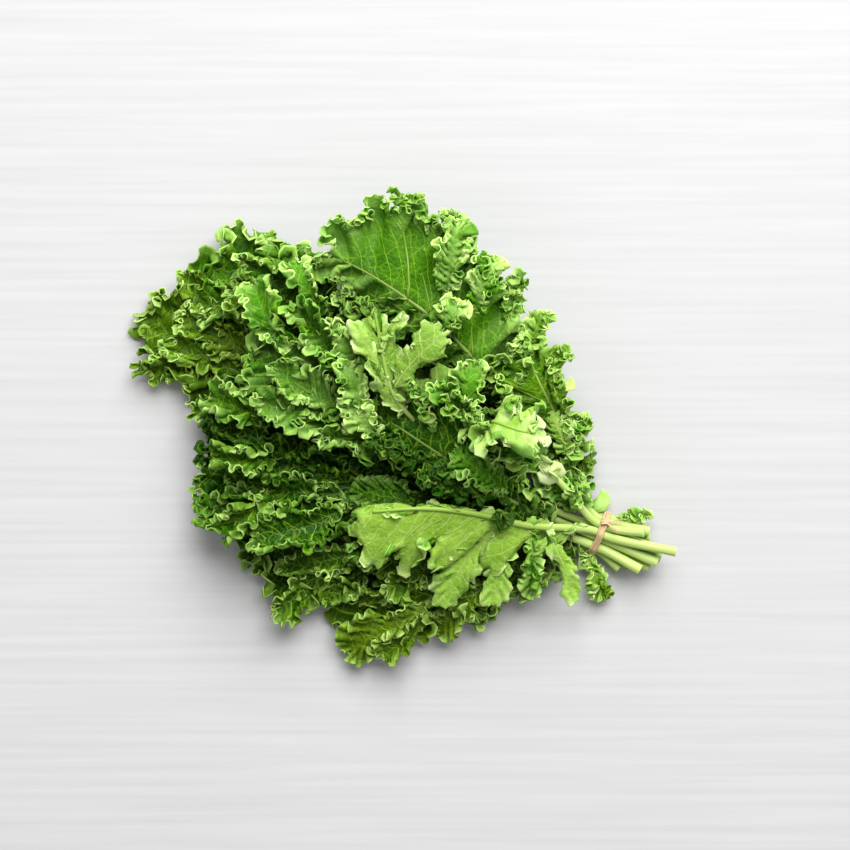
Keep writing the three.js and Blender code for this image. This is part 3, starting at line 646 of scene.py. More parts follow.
        for k in range(1, len(rows)):
            row, inner = rows[k], rows[k - 1]
            along = chord(row[:-1], row[1:]) * 0.5 * (growth[row[:-1]] + growth[row[1:]])
            add(row[:-1], row[1:], along, 1.0)
            add(row[:-2], row[2:], (along[:-1] + along[1:]) * 0.96, BEND_ALONG)
            if len(inner) == len(row):
                across = chord(inner, row)
                slant = np.hypot(across[:-1], along)
                add(inner, row, across, 1.0)
                add(inner[:-1], row[1:], slant, SLANT_WEIGHT)
                add(inner[1:], row[:-1], slant, SLANT_WEIGHT)
                if k >= 2 and len(rows[k - 2]) == len(row):
                    far = chord(rows[k - 2], inner) + across
                    add(rows[k - 2], row, far * 0.985, BEND_ACROSS)
            else:
                across = chord(inner, row[::2])
                slant = np.hypot(0.5 * (across[:-1] + across[1:]), along[::2])
                add(inner, row[::2], across, 1.0)
                add(inner[:-1], row[1::2], slant, SLANT_WEIGHT)
                add(inner[1:], row[1::2], slant, SLANT_WEIGHT)
        pairs = np.concatenate(pairs)
        return pairs[pairs[:, 0] != pairs[:, 1]]

    def settle(self, points, home, steps):
        """Lets the grown margin buckle until the sheet keeps its distances."""
        pairs = self.springs()
        a, b = pairs[:, 0].astype(int), pairs[:, 1].astype(int)
        rest, weight = pairs[:, 2], pairs[:, 3]
        count = len(points)
        free = (self.level >= 2).astype(float)
        held = np.maximum(free[a] + free[b], 1)
        load = np.maximum(np.bincount(a, weight, count) + np.bincount(b, weight, count), 1e-6)
        for _ in range(steps):
            gap = points[b] - points[a]
            size = np.linalg.norm(gap, axis=1)
            pull = ((size - rest) / np.maximum(size, 1e-6) * weight / held)[:, None] * gap
            at_a, at_b = pull * free[a][:, None], pull * free[b][:, None]
            move = np.stack([
                np.bincount(a, at_a[:, i], count) - np.bincount(b, at_b[:, i], count)
                for i in range(3)
            ], 1)
            points = points + move * (SETTLE_RATE / load)[:, None]
            points = points + (home - points) * (HOME_PULL * free)[:, None]
            points[:, 2] = np.maximum(points[:, 2], FLOOR_GAP)
        return points

    def grow(self):
        """The finished sheet: notched, curled, ruffled and settled."""
        rng = np.random.default_rng(self.leaf["seed"])
        leaf, spine = self.leaf, self.spine
        inside, _, _ = lay_blade(leaf, spine, self.u, self.r - 0.04, self.side)
        normals = unit(self.even_out(self.normals(self.flat), EVEN_PASSES))
        outward = unit(self.even_out(self.flat - inside, EVEN_PASSES))
        outward = unit(outward - normals * (outward * normals).sum(1)[:, None])
        self.notch(outward, rng)
        cup = CURL * leaf["cup"] * (1 + CURL_VARIES * smooth_noise(rng, self.arc, CURL_SPACING))
        home = self.curl_margin(normals, outward, cup, np.minimum(CURL_BAND, self.width * 0.6))
        points = home.copy()
        for ruffle in RUFFLES:
            points = self.ruffle(points, rng, *ruffle)
        self.points = self.settle(points, home, SETTLE_STEPS)
        return self.points

    def on_row(self, k, u, side):
        """The place on the grown sheet at u along one half of a row."""
        row = self.rows[k]
        half = (row if side < 0 else row[::-1])[: len(row) // 2 + 1]
        return np.array([np.interp(u, self.u[half], c) for c in self.points[half].T])

    def vein(self, u_from, u_to, side, r_from, r_to):
        """Places along a vein that runs from the rib's side outwards."""
        stops = []
        for k, row in enumerate(self.rows):
            r = self.r[row[0]]
            if r_from <= r <= r_to:
                share = (r - r_from) / (r_to - r_from)
                stops.append(self.on_row(k, u_from + (u_to - u_from) * share, side))
        return np.array(stops)


# ---- round and flat strands ----


def frames_along(points, up):
    """Across and up at each point of a path, given one rough up."""
    tangent = unit(np.gradient(points, axis=0))
    across = unit(np.cross(tangent, up))
    return across, np.cross(across, tangent)


def strand(points, across, up, wide, thick, sides, ring=False):
    """A strand of oval section: vertices, faces, length and turn at each vertex."""
    count = len(points)
    turn = np.arange(sides) / sides * TAU
    wide, thick = np.broadcast_to(wide, count), np.broadcast_to(thick, count)
    shell = points[:, None] \
        + across[:, None] * (np.cos(turn) * wide[:, None])[..., None] \
        + up[:, None] * (np.sin(turn) * thick[:, None])[..., None]
    run = run_along(points)
    uv = np.stack(np.broadcast_arrays(run[:, None], (turn * wide.max())[None]), -1)
    vertices, uv = shell.reshape(-1, 3), uv.reshape(-1, 2)
    faces = []
    for i in range(count if ring else count - 1):
        a, b = i * sides, (i + 1) % count * sides
        for j in range(sides):
            k = (j + 1) % sides
            faces.append((a + k, a + j, b + j, b + k))
    if not ring:
        faces.append(tuple(range(sides)))
        faces.append(tuple(range(len(vertices) - 1, len(vertices) - sides - 1, -1)))
    return vertices, faces, uv


class Pieces:
    """Vertices, faces and finishes collected for one mesh."""

    def __init__(self):
        self.vertices, self.faces, self.uv, self.finish, self.green = [], [], [], [], []
        self.count = 0

    def add(self, vertices, faces, uv, finish=0, green=0.0):
        self.vertices.append(vertices)
        self.green.append(np.broadcast_to(green, len(vertices)))
        self.uv.append(uv)
        self.faces += [tuple(int(i) + self.count for i in face) for face in faces]
        self.finish += [finish] * len(faces)
        self.count += len(vertices)

    def build(self, name, materials, tint=0.0, dim=0.0):
        green = np.concatenate(self.green)
        # ribs and veins take the leaf's painted shade as far as they are green
        return make_object(
            name, np.concatenate(self.vertices), self.faces, np.concatenate(self.uv),
            materials, self.finish, dict(tint=np.maximum(tint, green), shade=dim * green, rim=0.0))


def make_object(name, vertices, faces, uv, materials, finish, marks):
    """A mesh in the part's place, with its leaf map and its attributes."""
    mesh = bpy.data.meshes.new(name)
    mesh.from_pydata(((vertices + BUNCH) * MM).tolist(), [], [tuple(f) for f in faces])
    corners = np.empty(len(mesh.loops), int)
    mesh.loops.foreach_get("vertex_index", corners)
    layer = mesh.uv_layers.new(name="leaf")
    layer.data.foreach_set("uv", (uv[corners] * MM).ravel())
    for label, values in marks.items():
        attribute = mesh.attributes.new(label, "FLOAT", "POINT")
        attribute.data.foreach_set("value", np.broadcast_to(values, len(vertices)).astype(float))
    for material in materials:
        mesh.materials.append(material)
    mesh.polygons.foreach_set("material_index", finish)
    mesh.polygons.foreach_set("use_smooth", [True] * len(mesh.polygons))
    piece = bpy.data.objects.new(name, mesh)
    bpy.context.collection.objects.link(piece)
    return piece


def select_only(*objects):
    """Selects these and nothing else; the first is the active one."""
    bpy.ops.object.select_all(action="DESELECT")
    for item in objects:
        item.select_set(True)
    bpy.context.view_layer.objects.active = objects[0]


# ---- finishes ----

SIDE_VEIN_GAP, SIDE_VEIN_LEAN, SIDE_VEIN_SHARE = 0.0115, 0.9, 0.055
# size of the net's cells in metres, and how far it is pulled out of line
NET_CELL, NET_WARP = 0.009, 0.004
# how much finer each size of net is, and the share of a cell that its vein takes
NET_SIZES = ((1.0, 0.07), (2.7, 0.10))
FINE_NET_SHARE = 0.4
# how strongly the net and the side veins show in the leaf's colour
NET_SHARE, SIDE_SHARE = 0.25, 0.5
PUCKER_SHARE = 1.4
# how far light gets into the thin blades and the juicy stems
THIN = {"Subsurface Weight": 0.35, "Subsurface Scale": 0.002,
        "Subsurface Radius": (0.5, 1.0, 0.15), "Specular IOR Level": 0.06}
THICK = {"Subsurface Weight": 0.15, "Subsurface Scale": 0.002,
         "Subsurface Radius": (0.5, 1.0, 0.3), "Specular IOR Level": 0.35}
DRY = {"Specular IOR Level": 0.3}


def add_node(tree, kind, **values):
    """A shader node; names of sockets and of settings are given alike."""
    node = tree.nodes.new("ShaderNode" + kind)
    for key, value in values.items():
        label = key.replace("_", " ").title() if key.islower() else key
        if label in node.inputs:
            node.inputs[label].default_value = value
        else:
            setattr(node, key, value)
    return node


def arithmetic(tree, operation, *values):
    """One step of arithmetic; each value is a number or another node's output."""
    node = add_node(tree, "Math", operation=operation)
    for socket, value in zip(node.inputs, values):
        if isinstance(value, float):
            socket.default_value = value
        else:
            tree.links.new(value, socket)
    return node.outputs[0]


def smooth_step(tree, value, low, high, at_low=0.0, at_high=1.0):
    """Turns smoothly from one value to another between low and high."""
    node = add_node(tree, "MapRange", interpolation_type="SMOOTHSTEP")
    ends = {"From Min": low, "From Max": high, "To Min": at_low, "To Max": at_high}
    for label, number in ends.items():
        node.inputs[label].default_value = number
    tree.links.new(value, node.inputs["Value"])
    return node.outputs[0]


def leaf_map(tree):
    """Metres along the rib and out from it, or along and round a strand."""
    return add_node(tree, "UVMap", uv_map="leaf").outputs["UV"]


def object_place(tree):
    """The place within the piece."""
    return add_node(tree, "TexCoord").outputs["Object"]


def mark(tree, label):
    """The tint, painted shade or light rim (partly the leaf's paler margin, partly painted highlight)
    that a mesh carries at each vertex.
    """
    return add_node(tree, "Attribute", attribute_name=label).outputs["Fac"]


def noise(tree, place, **values):
    """The outputs of a noise at this place."""
    node = add_node(tree, "TexNoise", **values)
    tree.links.new(place, node.inputs["Vector"])
    return node.outputs


def new_group(name, inputs, outputs):
    """A group of nodes with its own inputs and outputs."""
    group = bpy.data.node_groups.new(name, "ShaderNodeTree")
    for label, start in inputs:
        socket = group.interface.new_socket(label, in_out="INPUT", socket_type="NodeSocketFloat")
        socket.default_value = start
    for label in outputs:
        group.interface.new_socket(label, in_out="OUTPUT", socket_type="NodeSocketFloat")
    return group, group.nodes.new("NodeGroupInput"), group.nodes.new("NodeGroupOutput")


def use_group(tree, group, **values):
    """The outputs of a group with these values put in."""
    node = tree.nodes.new("ShaderNodeGroup")
    node.node_tree = group
    for key, value in values.items():
        node.inputs[key].default_value = value
    return node.outputs


def vein_net():
    """The net of fine veins, finer away from the main ones."""
    group, taken, given = new_group("Vein net", [("Cell", NET_CELL)], ["Net", "Side", "Relief"])
    link = group.links.new
    uv = leaf_map(group)
    warp = noise(group, uv, scale=90.0, detail=2.0)
    shift = add_node(group, "VectorMath", operation="SCALE", Scale=NET_WARP)
    link(warp["Color"], shift.inputs[0])
    place = add_node(group, "VectorMath", operation="ADD")
    link(uv, place.inputs[0])
    link(shift.outputs[0], place.inputs[1])
    per_metre = arithmetic(group, "DIVIDE", 1.0, taken.outputs["Cell"])
    nets, edges = [], []
    for finer, thin in NET_SIZES:
        cells = add_node(group, "TexVoronoi", feature="DISTANCE_TO_EDGE")
        link(place.outputs[0], cells.inputs["Vector"])
        link(arithmetic(group, "MULTIPLY", per_metre, finer), cells.inputs["Scale"])
        edges.append(cells.outputs["Distance"])
        nets.append(smooth_step(group, edges[-1], 0.0, thin, 1.0, 0.0))
    fine = arithmetic(group, "MULTIPLY", nets[1], FINE_NET_SHARE)
    link(arithmetic(group, "MAXIMUM", nets[0], fine), given.inputs["Net"])
    # side veins that run forward from the rib
    parts = add_node(group, "SeparateXYZ")
    link(place.outputs[0], parts.inputs[0])
    aside = arithmetic(group, "ABSOLUTE", parts.outputs[1])
    forward = arithmetic(group, "MULTIPLY", aside, SIDE_VEIN_LEAN)
    along = arithmetic(group, "SUBTRACT", parts.outputs[0], forward)
    turn = arithmetic(group, "FRACT", arithmetic(group, "DIVIDE", along, SIDE_VEIN_GAP))
    off = arithmetic(group, "ABSOLUTE", arithmetic(group, "SUBTRACT", turn, 0.5))
    link(smooth_step(group, off, 0.5 - SIDE_VEIN_SHARE, 0.5), given.inputs["Side"])
    link(arithmetic(group, "ADD", *edges), given.inputs["Relief"])
    return group


def streaks():
    """Fibres that run lengthwise along a stem or a strand."""
    group, taken, given = new_group(
        "Lengthwise streaks", [("Along", 20.0), ("Around", 900.0)], ["Streak"])
    parts = add_node(group, "SeparateXYZ")
    group.links.new(leaf_map(group), parts.inputs[0])
    stretched = add_node(group, "CombineXYZ")
    for axis, label in enumerate(("Along", "Around")):
        size = arithmetic(group, "MULTIPLY", parts.outputs[axis], taken.outputs[label])
        group.links.new(size, stretched.inputs[axis])
    fibre = noise(group, stretched.outputs[0], scale=1.0, detail=4.0, roughness=0.65)
    group.links.new(fibre["Fac"], given.inputs["Streak"])
    return group


VEIN_NET = vein_net()
STREAKS = streaks()


def new_material(name, settings):
    """A material with these settings, and its nodes."""
    material = bpy.data.materials.new(name)
    material.use_nodes = True
    for key, value in settings.items():
        material.node_tree.nodes["Principled BSDF"].inputs[key].default_value = value
    return material, material.node_tree


def finish(material, colour, roughness, height=None, strength=0.0, distance=0.0):
    """Gives a material its colour, its roughness and its bumps."""
    tree = material.node_tree
    shader = tree.nodes["Principled BSDF"]
    tree.links.new(colour, shader.inputs["Base Color"])
    tree.links.new(roughness, shader.inputs["Roughness"])
    if height is not None:
        bump = add_node(tree, "Bump", strength=strength, distance=distance)
        tree.links.new(height, bump.inputs["Height"])
        tree.links.new(bump.outputs[0], shader.inputs["Normal"])
    return material


def ramp(tree, source, places, colours):
    """Colours or greys by value."""
    node = add_node(tree, "ValToRGB")
    marks = node.color_ramp.elements
    while len(marks) < len(places):
        marks.new(0.5)
    for stop, place, colour in zip(marks, places, colours):
        stop.position = place
        stop.color = (*colour, 1) if isinstance(colour, tuple) else (colour, colour, colour, 1)
    tree.links.new(source, node.inputs["Fac"])
    return node.outputs["Color"]


def blend(tree, share, first, second):
    """Mixes two colours; the second may be a plain colour."""
    node = add_node(tree, "Mix", data_type="RGBA")
    tree.links.new(share, node.inputs[0])
    tree.links.new(first, node.inputs[6])
    node.inputs[7].default_value = (*second, 1)
    return node.outputs[2]


def leaf_material(name, deep, middle, rim_highlight, olive, shadow, vein, relief):
    """Mottled leaf green with painted shade, a lighter margin that is partly painted highlight, a net
    of veins and an olive tint.
    """
    material, tree = new_material(name, THIN)
    mottle = noise(tree, object_place(tree), scale=45.0, detail=4.0)["Fac"]
    colour = ramp(tree, mottle, (0.3, 0.7), (deep, middle))
    for label, other in (("tint", olive), ("shade", shadow), ("rim", rim_highlight)):
        colour = blend(tree, mark(tree, label), colour, other)
    net = use_group(tree, VEIN_NET)
    for label, share in (("Net", NET_SHARE), ("Side", SIDE_SHARE)):
        colour = blend(tree, arithmetic(tree, "MULTIPLY", net[label], share), colour, vein)
    gloss = ramp(tree, mottle, (0.3, 0.75), (0.28, 0.42))
    pucker = noise(tree, leaf_map(tree), scale=260.0, detail=3.0)["Fac"]
    height = arithmetic(tree, "MULTIPLY_ADD", pucker, PUCKER_SHARE, net["Relief"])
    return finish(material, colour, gloss, height, relief, 0.001)


def fibre_material(name, settings, along, around, colours, marks, gloss, strength):
    """Fine fibres that run lengthwise, as in a stem or in raffia."""
    material, tree = new_material(name, settings)
    fibre = use_group(tree, STREAKS, Along=along, Around=around)["Streak"]
    colour = ramp(tree, fibre, (0.3, 0.5, 0.7), colours)
    for label, other in marks.items():
        colour = blend(tree, mark(tree, label), colour, other)
    return finish(material, colour, ramp(tree, fibre, (0.3, 0.7), gloss), fibre, strength, 0.0005)


def pith_material():
    """The moist pale pith of a cut stem."""
    material, tree = new_material("Cut stem", THICK)
    pith = noise(tree, object_place(tree), scale=900.0, detail=3.0)["Fac"]
    colour = ramp(tree, pith, (0.35, 0.65), ((0.50, 0.60, 0.24), (0.72, 0.76, 0.48)))
    return finish(material, colour, ramp(tree, pith, (0.3, 0.7), (0.3, 0.5)), pith, 0.3, 0.0004)


UPPER = leaf_material(
    "Kale upper side", deep=(0.030, 0.165, 0.001), middle=(0.085, 0.320, 0.001),
    rim_highlight=(0.62, 0.92, 0.26), olive=(0.170, 0.240, 0.004), shadow=(0.006, 0.048, 0.001),
    vein=(0.34, 0.56, 0.04), relief=0.6)
UNDERSIDE = leaf_material(
    "Kale underside", deep=(0.10, 0.28, 0.004), middle=(0.18, 0.44, 0.010),
    rim_highlight=(0.64, 0.92, 0.28), olive=(0.18, 0.27, 0.012), shadow=(0.012, 0.075, 0.002),
    vein=(0.42, 0.62, 0.10), relief=0.5)
PALE_UNDERSIDE = leaf_material(
    "Kale pale underside", deep=(0.17, 0.36, 0.020), middle=(0.34, 0.58, 0.060),
    rim_highlight=(0.72, 0.88, 0.42), olive=(0.19, 0.27, 0.035), shadow=(0.10, 0.20, 0.02),
    vein=(0.56, 0.74, 0.24), relief=0.5)
# the stem's shade colour is painted shade, taken from its leaf
STEM = fibre_material(
    "Kale stem", THICK, along=25.0, around=1400.0,
    colours=((0.34, 0.50, 0.08), (0.50, 0.66, 0.17), (0.64, 0.76, 0.32)),
    marks={"tint": (0.22, 0.40, 0.025), "shade": (0.03, 0.08, 0.004)},
    gloss=(0.32, 0.45), strength=0.25)
CUT = pith_material()
RAFFIA = fibre_material(
    "Raffia", DRY, along=60.0, around=3500.0,
    colours=((0.40, 0.24, 0.10), (0.66, 0.46, 0.24), (0.84, 0.68, 0.44)),
    marks={}, gloss=(0.85, 0.6), strength=0.6)


# ---- stems and veins ----

STEM_SIDES = 20
STEM_STEP = 3.0
STEM_RIDGES, RIDGE_HEIGHT = 7, 0.03
# the cut end's rim as a share of the stem, and how far it is hollowed
CUT_RIM, CUT_HOLLOW = 0.6, 0.3
VEIN_SIDES = 5
# how far from rib to margin main veins and those to the notches go
VEIN_END, NOTCH_VEIN_END = 0.86, 0.45
# how far towards the foot a vein starts, how green it is, and how thin at its end
VEIN_LEAD, VEIN_GREEN, VEIN_FINE = 0.2, 0.75, 0.34
# thickness at the rib of main veins and of those to the notches, on a blade 50 mm wide
VEIN_THICK, NOTCH_VEIN_THICK, VEIN_SCALE = 1.15, 0.7, 50
# where each side vein leaves its main vein, how far it leans and how far it goes
SIDE_VEINS = ((0.2, 0.08), (0.34, -0.06), (0.5, 0.06), (0.62, -0.04))
SIDE_VEIN_REACH = 0.34
# the length over which a stem takes on the green of the blade
RIB_GREENING = 60.0


def add_stem(pieces, leaf, spine):
    """The stem from its cut end, running on as the rib under the blade."""
    end = spine.foot + spine.blade * RIB_REACH
    count = max(4, round(end / STEM_STEP))
    length = np.linspace(0, end, count + 1)
    point, right, up = spine.frame(length)
    radius = spine.radius(length)
    vertices, faces, uv = strand(point, right, up, radius, radius * STEM_FLAT, STEM_SIDES)
    around = np.tile(np.arange(STEM_SIDES) / STEM_SIDES * TAU, count + 1)
    middle = np.repeat(point, STEM_SIDES, axis=0)
    ridges = 1 + RIDGE_HEIGHT * np.cos(STEM_RIDGES * around)
    vertices = middle + (vertices - middle) * ridges[:, None]
    along = np.clip((length - spine.foot) / RIB_GREENING, 0, 1)
    pieces.add(vertices, faces[:-2] + faces[-1:], uv, green=np.repeat(VEIN_GREEN * along, STEM_SIDES))
    if "slot" in leaf:
        # the cut end is a little hollow in the middle
        ring = vertices[:STEM_SIDES]
        inner = point[0] + (ring - point[0]) * CUT_RIM + unit(point[1] - point[0]) * CUT_HOLLOW
        cap = np.concatenate([ring, inner])
        cap_faces = [(j, (j + 1) % STEM_SIDES, STEM_SIDES + (j + 1) % STEM_SIDES, STEM_SIDES + j)
                     for j in range(STEM_SIDES)]
        cap_faces.append(tuple(range(STEM_SIDES, 2 * STEM_SIDES)))
        pieces.add(cap, cap_faces, np.zeros((2 * STEM_SIDES, 2)), 1)
    else:
        pieces.add(vertices[:STEM_SIDES], [tuple(range(STEM_SIDES))], uv[:STEM_SIDES])


def add_vein(pieces, path, normal, thick):
    """A raised vein that thins along its path."""
    if len(path) < 4:
        return
    radius = np.linspace(thick, VEIN_FINE, len(path))
    across, up = frames_along(path, normal)
    vertices, faces, uv = strand(path, across, up, radius, radius, VEIN_SIDES)
    pieces.add(vertices, faces, uv, green=VEIN_GREEN)


def add_veins(pieces, blade):
    """Main veins to the lobes with side veins, and short ones to the notches."""
    count = 2 * blade.leaf["lobes"][0]
    size = max(blade.leaf["width"]) / VEIN_SCALE
    row = blade.rows[0]
    for side in (-1, 1):
        for i in range(1, count):
            u = i / count
            start = max(0.0, u - VEIN_LEAD)
            middle = row[min(len(row) // 2, int(u * len(row) / 2))]
            normal = blade.sheet_normals[middle]
            if i % 2 == 0:
                path = blade.vein(start, u, side, 0, NOTCH_VEIN_END)
                add_vein(pieces, path, normal, NOTCH_VEIN_THICK * size * (1 - 0.4 * u))
                continue
            thick = VEIN_THICK * size * (1 - 0.4 * u)
            add_vein(pieces, blade.vein(start, u, side, 0, VEIN_END), normal, thick)
            for begin, lean in SIDE_VEINS:
                here = start + (u - start) * begin / VEIN_END
                there = min(0.97, max(0.02, here + lean))
                stop = min(VEIN_END, begin + SIDE_VEIN_REACH)
                add_vein(pieces, blade.vein(here, there, side, begin, stop), normal, 0.5 * thick)


# ---- the leaves ----

# how light the margin is (partly its own paler edge, partly painted highlight), how far in that
# reaches and the length of its patches
RIM_HIGHLIGHT, RIM_REACH, RIM_PATCH = 1.1, 4.6, 9
# how far from the margin a blade is as light as its frill, and where its painted shade is darkest
SHADE_FROM, SHADE_REACH = 3, 12.0
# size of a cell in which the top is looked for, and how often the tops are evened out
DEPTH_CELL, DEPTH_BLUR = 3.0, 3
# depth below the top that stays light, depth at which it is darkest, and how dark
DEPTH_FREE, DEPTH_REACH, DEPTH_SHADE = 1.0, 18.0, 0.92
# share of the leaf's olive tint that its stem takes
STEM_TINT = 0.4


def by_half(pair, side):
    """The value for the left or the right half; one number counts for both."""
    left, right = np.broadcast_to(pair, 2)
    return np.where(np.asarray(side) < 0, left, right)


def grow_sheet(name, leaf, spine):
    """A blade or lobe as a thin closed sheet."""
    blade = Blade(leaf, spine)
    points = blade.grow()
    blade.sheet_normals = blade.normals(points)
    # the light rim is partly the leaf's own paler margin and partly painted highlight, weaker where
    # painted shade darkens the leaf
    patchy = smooth_noise(np.random.default_rng(leaf["seed"]), blade.arc, RIM_PATCH)
    dim = by_half(leaf["dim"], blade.side)
    reach = RIM_REACH * leaf["rim_highlight_reach"]
    rim = RIM_HIGHLIGHT * (0.6 + 0.6 * patchy) * (1 - dim) * np.exp(-blade.depth / reach)
    uv = np.stack([blade.length, blade.out], 1)
    faces = [tuple(face) for face in blade.quads.tolist()] + \
        [tuple(face) for face in blade.tris.tolist()]
    # painted shade: darker away from the margin, and darker throughout by dim
    inward = leaf["shade"] * np.clip((blade.depth - SHADE_FROM) / SHADE_REACH, 0, 1)
    shade = 1 - (1 - dim) * (1 - inward)
    under = PALE_UNDERSIDE if leaf["pale"] else UNDERSIDE
    sheet = make_object(
        name, points, faces, uv, [UPPER, under], [0] * len(faces),
        dict(tint=leaf["tint"], shade=shade, rim=rim))
    select_only(sheet)
    solidify = sheet.modifiers.new("Thickness", "SOLIDIFY")
    solidify.thickness = SHEET_THICKNESS * MM
    solidify.offset = 0
    solidify.material_offset = 1
    bpy.ops.object.modifier_apply(modifier=solidify.name)
    return sheet, blade


def lobe_routes(leaf):
    """Start, end, half, width and frill of each lobe that stands over the blade."""
    # a lobe leaves the rib a little nearer to the foot than where it ends
    for side, u, width, frill, foot in leaf["over"]:
        yield (max(0.02, 0.86 * u - 0.06), foot), (min(0.88, u + 0.03), LOBE_TIP), side, width, frill
    for side, turn, width, frill in leaf["tips"]:
        yield (0.5, 0.1), (0.97, turn), side, width, frill


def grow_lobes(name, leaf, spine, pieces):
    """Lobes that overlap along both halves and the tip of a blade."""
    rng = np.random.default_rng(leaf["seed"] + 100)
    sheets = []
    for i, (start, end, side, half, frill) in enumerate(lobe_routes(leaf)):
        lift = leaf["lobe_lift"] * LOBE_LIFT * rng.uniform(*LIFT_SPREAD)
        route = lobe_spine(leaf, spine, start, end, side, lift)
        lobe = dict(
            LEAF, width=(half, half * rng.uniform(0.85, 1.15)), rise=rng.uniform(0, 45, 2),
            curl=rng.uniform(5, 50, 2), lobes=(3, 0.3), wave=rng.uniform(0, 1),
            cup=leaf["cup"] * frill, growth=leaf["growth"] * frill, tint=leaf["tint"],
            shade=leaf["shade"], dim=by_half(leaf["dim"], side), rim_highlight_reach=leaf["rim_highlight_reach"],
            seed=leaf["seed"] * 50 + i, fineness=LOBE_FINENESS)
        sheets.append(grow_sheet(name + "_lobe", lobe, route)[0])
        length = np.linspace(0, route.total * RIB_REACH, 16)
        point, right, up = route.frame(length)
        thick = route.radius(length) * LOBE_RIB
        pieces.add(*strand(point, right, up, thick, thick, VEIN_SIDES), green=VEIN_GREEN)
    return sheets


def grow_leaf(name, leaf, pieces):
    """One blade with its side lobes; its stem and veins go into pieces."""
    spine = stem_spine(leaf)
    sheet, blade = grow_sheet(name, leaf, spine)
    add_stem(pieces, leaf, spine)
    add_veins(pieces, blade)
    return [sheet] + grow_lobes(name, leaf, spine, pieces)


def darken_depths(pieces):
    """Darkens what lies deep in the bunch, where little light gets in."""
    placed = []
    for piece in pieces:
        flat = np.empty(3 * len(piece.data.vertices))
        piece.data.vertices.foreach_get("co", flat)
        placed.append(flat.reshape(-1, 3) / MM)
    corner = np.min([points.min(0) for points in placed], axis=0)[:2] - DEPTH_CELL
    size = np.max([points.max(0) for points in placed], axis=0)[:2] - corner
    top = np.zeros(tuple((size / DEPTH_CELL).astype(int) + 3))
    cells = [((points[:, :2] - corner) / DEPTH_CELL).astype(int) for points in placed]
    for points, cell in zip(placed, cells):
        np.maximum.at(top, (cell[:, 0], cell[:, 1]), points[:, 2])
    for _ in range(DEPTH_BLUR):
        for axis in (0, 1):
            top = (np.roll(top, 1, axis) + top + np.roll(top, -1, axis)) / 3
    for piece, points, cell in zip(pieces, placed, cells):
        below = top[cell[:, 0], cell[:, 1]] - points[:, 2] - DEPTH_FREE
        deep = DEPTH_SHADE * np.clip(below / DEPTH_REACH, 0, 1)
        for label, share in (("shade", 1.0), ("rim", 0.0)):
            marks = piece.data.attributes[label].data
            values = np.empty(len(points))
            marks.foreach_get("value", values)
            marks.foreach_set("value", share * deep + (1 - deep) * values)


leaves = []
for name, leaf in LEAVES.items():
    pieces = Pieces()
    parts = grow_leaf(name, leaf, pieces)
    for leaflet in LEAFLETS.get(name, ()):
        roll = (180, 180) if "pale" in leaflet else (0, 0)
        whole = {**LEAF, **LEAFLET, "roll": roll, **leaflet}
        parts += grow_leaf(name + "_leaflet", whole, pieces)
    # the stem and ribs take the mean painted shade of their leaf
    dim = np.mean(leaf["dim"])
    parts.append(pieces.build(name + "_stem", [STEM, CUT], STEM_TINT * leaf["tint"], dim))
    select_only(*parts)
    bpy.ops.object.join()
    piece = bpy.context.object
    piece.name = "kale_" + name
    leaves.append(piece)
    node = name + "_leaf"
    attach(piece, "root")
    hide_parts(node)
darken_depths(leaves)


# ---- the raffia tie ----

STRAND_COUNT, STRAND_SIDES = 6, 8
# half the width and half the thickness of a strand, and the width of the band
STRAND_WIDE, STRAND_THICK = 0.75, 0.3
TIE_WIDE = 5.4
TIE_STEPS = 72
# how far a strand sways, stands off the stems, rises and falls, and twists
STRAND_SWAY, STRAND_OFF, STRAND_PLAY, STRAND_TWIST = 0.5, 0.45, 0.22, 0.35
STEM_OUTLINE_STEPS = 48
# how often the band's outward side is evened out
OUTWARD_PASSES = 3
# where the knot sits round the band, and the shift and slant of each of its turns
KNOT_TURN = 58.0
KNOT_TURNS = ((-1.3, 0.35), (-0.4, -0.25), (0.5, 0.3), (1.4, -0.3))
KNOT_STEPS = 28
KNOT_LENGTH, KNOT_HEIGHT = 3.4, 1.5
KNOT_WIDE, KNOT_THICK = 0.85, 0.35
# turn, lift and fibres of each loose end, and how long its fibres are
LOOSE_ENDS = ((28, 2.5, 4), (-24, 4.0, 3))
FIBRE_LENGTH = (10, 14)
FIBRE_STEPS, FIBRE_SIDES = 12, 6


def ring_directions(path):
    """The direction at each point of a closed path."""
    return unit(np.roll(path, -1, 0) - np.roll(path, 1, 0))


def bundle_outline():
    """The loop that a taut strand takes round the stems, and its outward side."""
    circle = np.arange(STEM_OUTLINE_STEPS) / STEM_OUTLINE_STEPS * TAU
    ring = np.concatenate([
        np.stack([
            leaf["slot"][0] + leaf["stem"] * np.cos(circle),
            leaf["slot"][1] + leaf["stem"] * STEM_FLAT * np.sin(circle),
        ], 1)
        for leaf in LEAVES.values()
    ])
    ring = ring[np.lexsort((ring[:, 1], ring[:, 0]))]
    hull = []
    for line in (ring, ring[::-1]):
        chain = []
        for p in line:
            while len(chain) > 1 and np.cross(chain[-1] - chain[-2], p - chain[-2]) <= 0:
                chain.pop()
            chain.append(p)
        hull += chain[:-1]
    hull = np.array(hull + hull[:1])
    run = run_along(hull)
    at = np.arange(TIE_STEPS) / TIE_STEPS * run[-1]
    loop = np.stack([np.interp(at, run, hull[:, 0]), np.interp(at, run, hull[:, 1])], 1)
    along = ring_directions(loop)
    for _ in range(OUTWARD_PASSES):
        along = unit(np.roll(along, 1, 0) + along + np.roll(along, -1, 0))
    return loop, np.stack([along[:, 1], -along[:, 0]], 1)


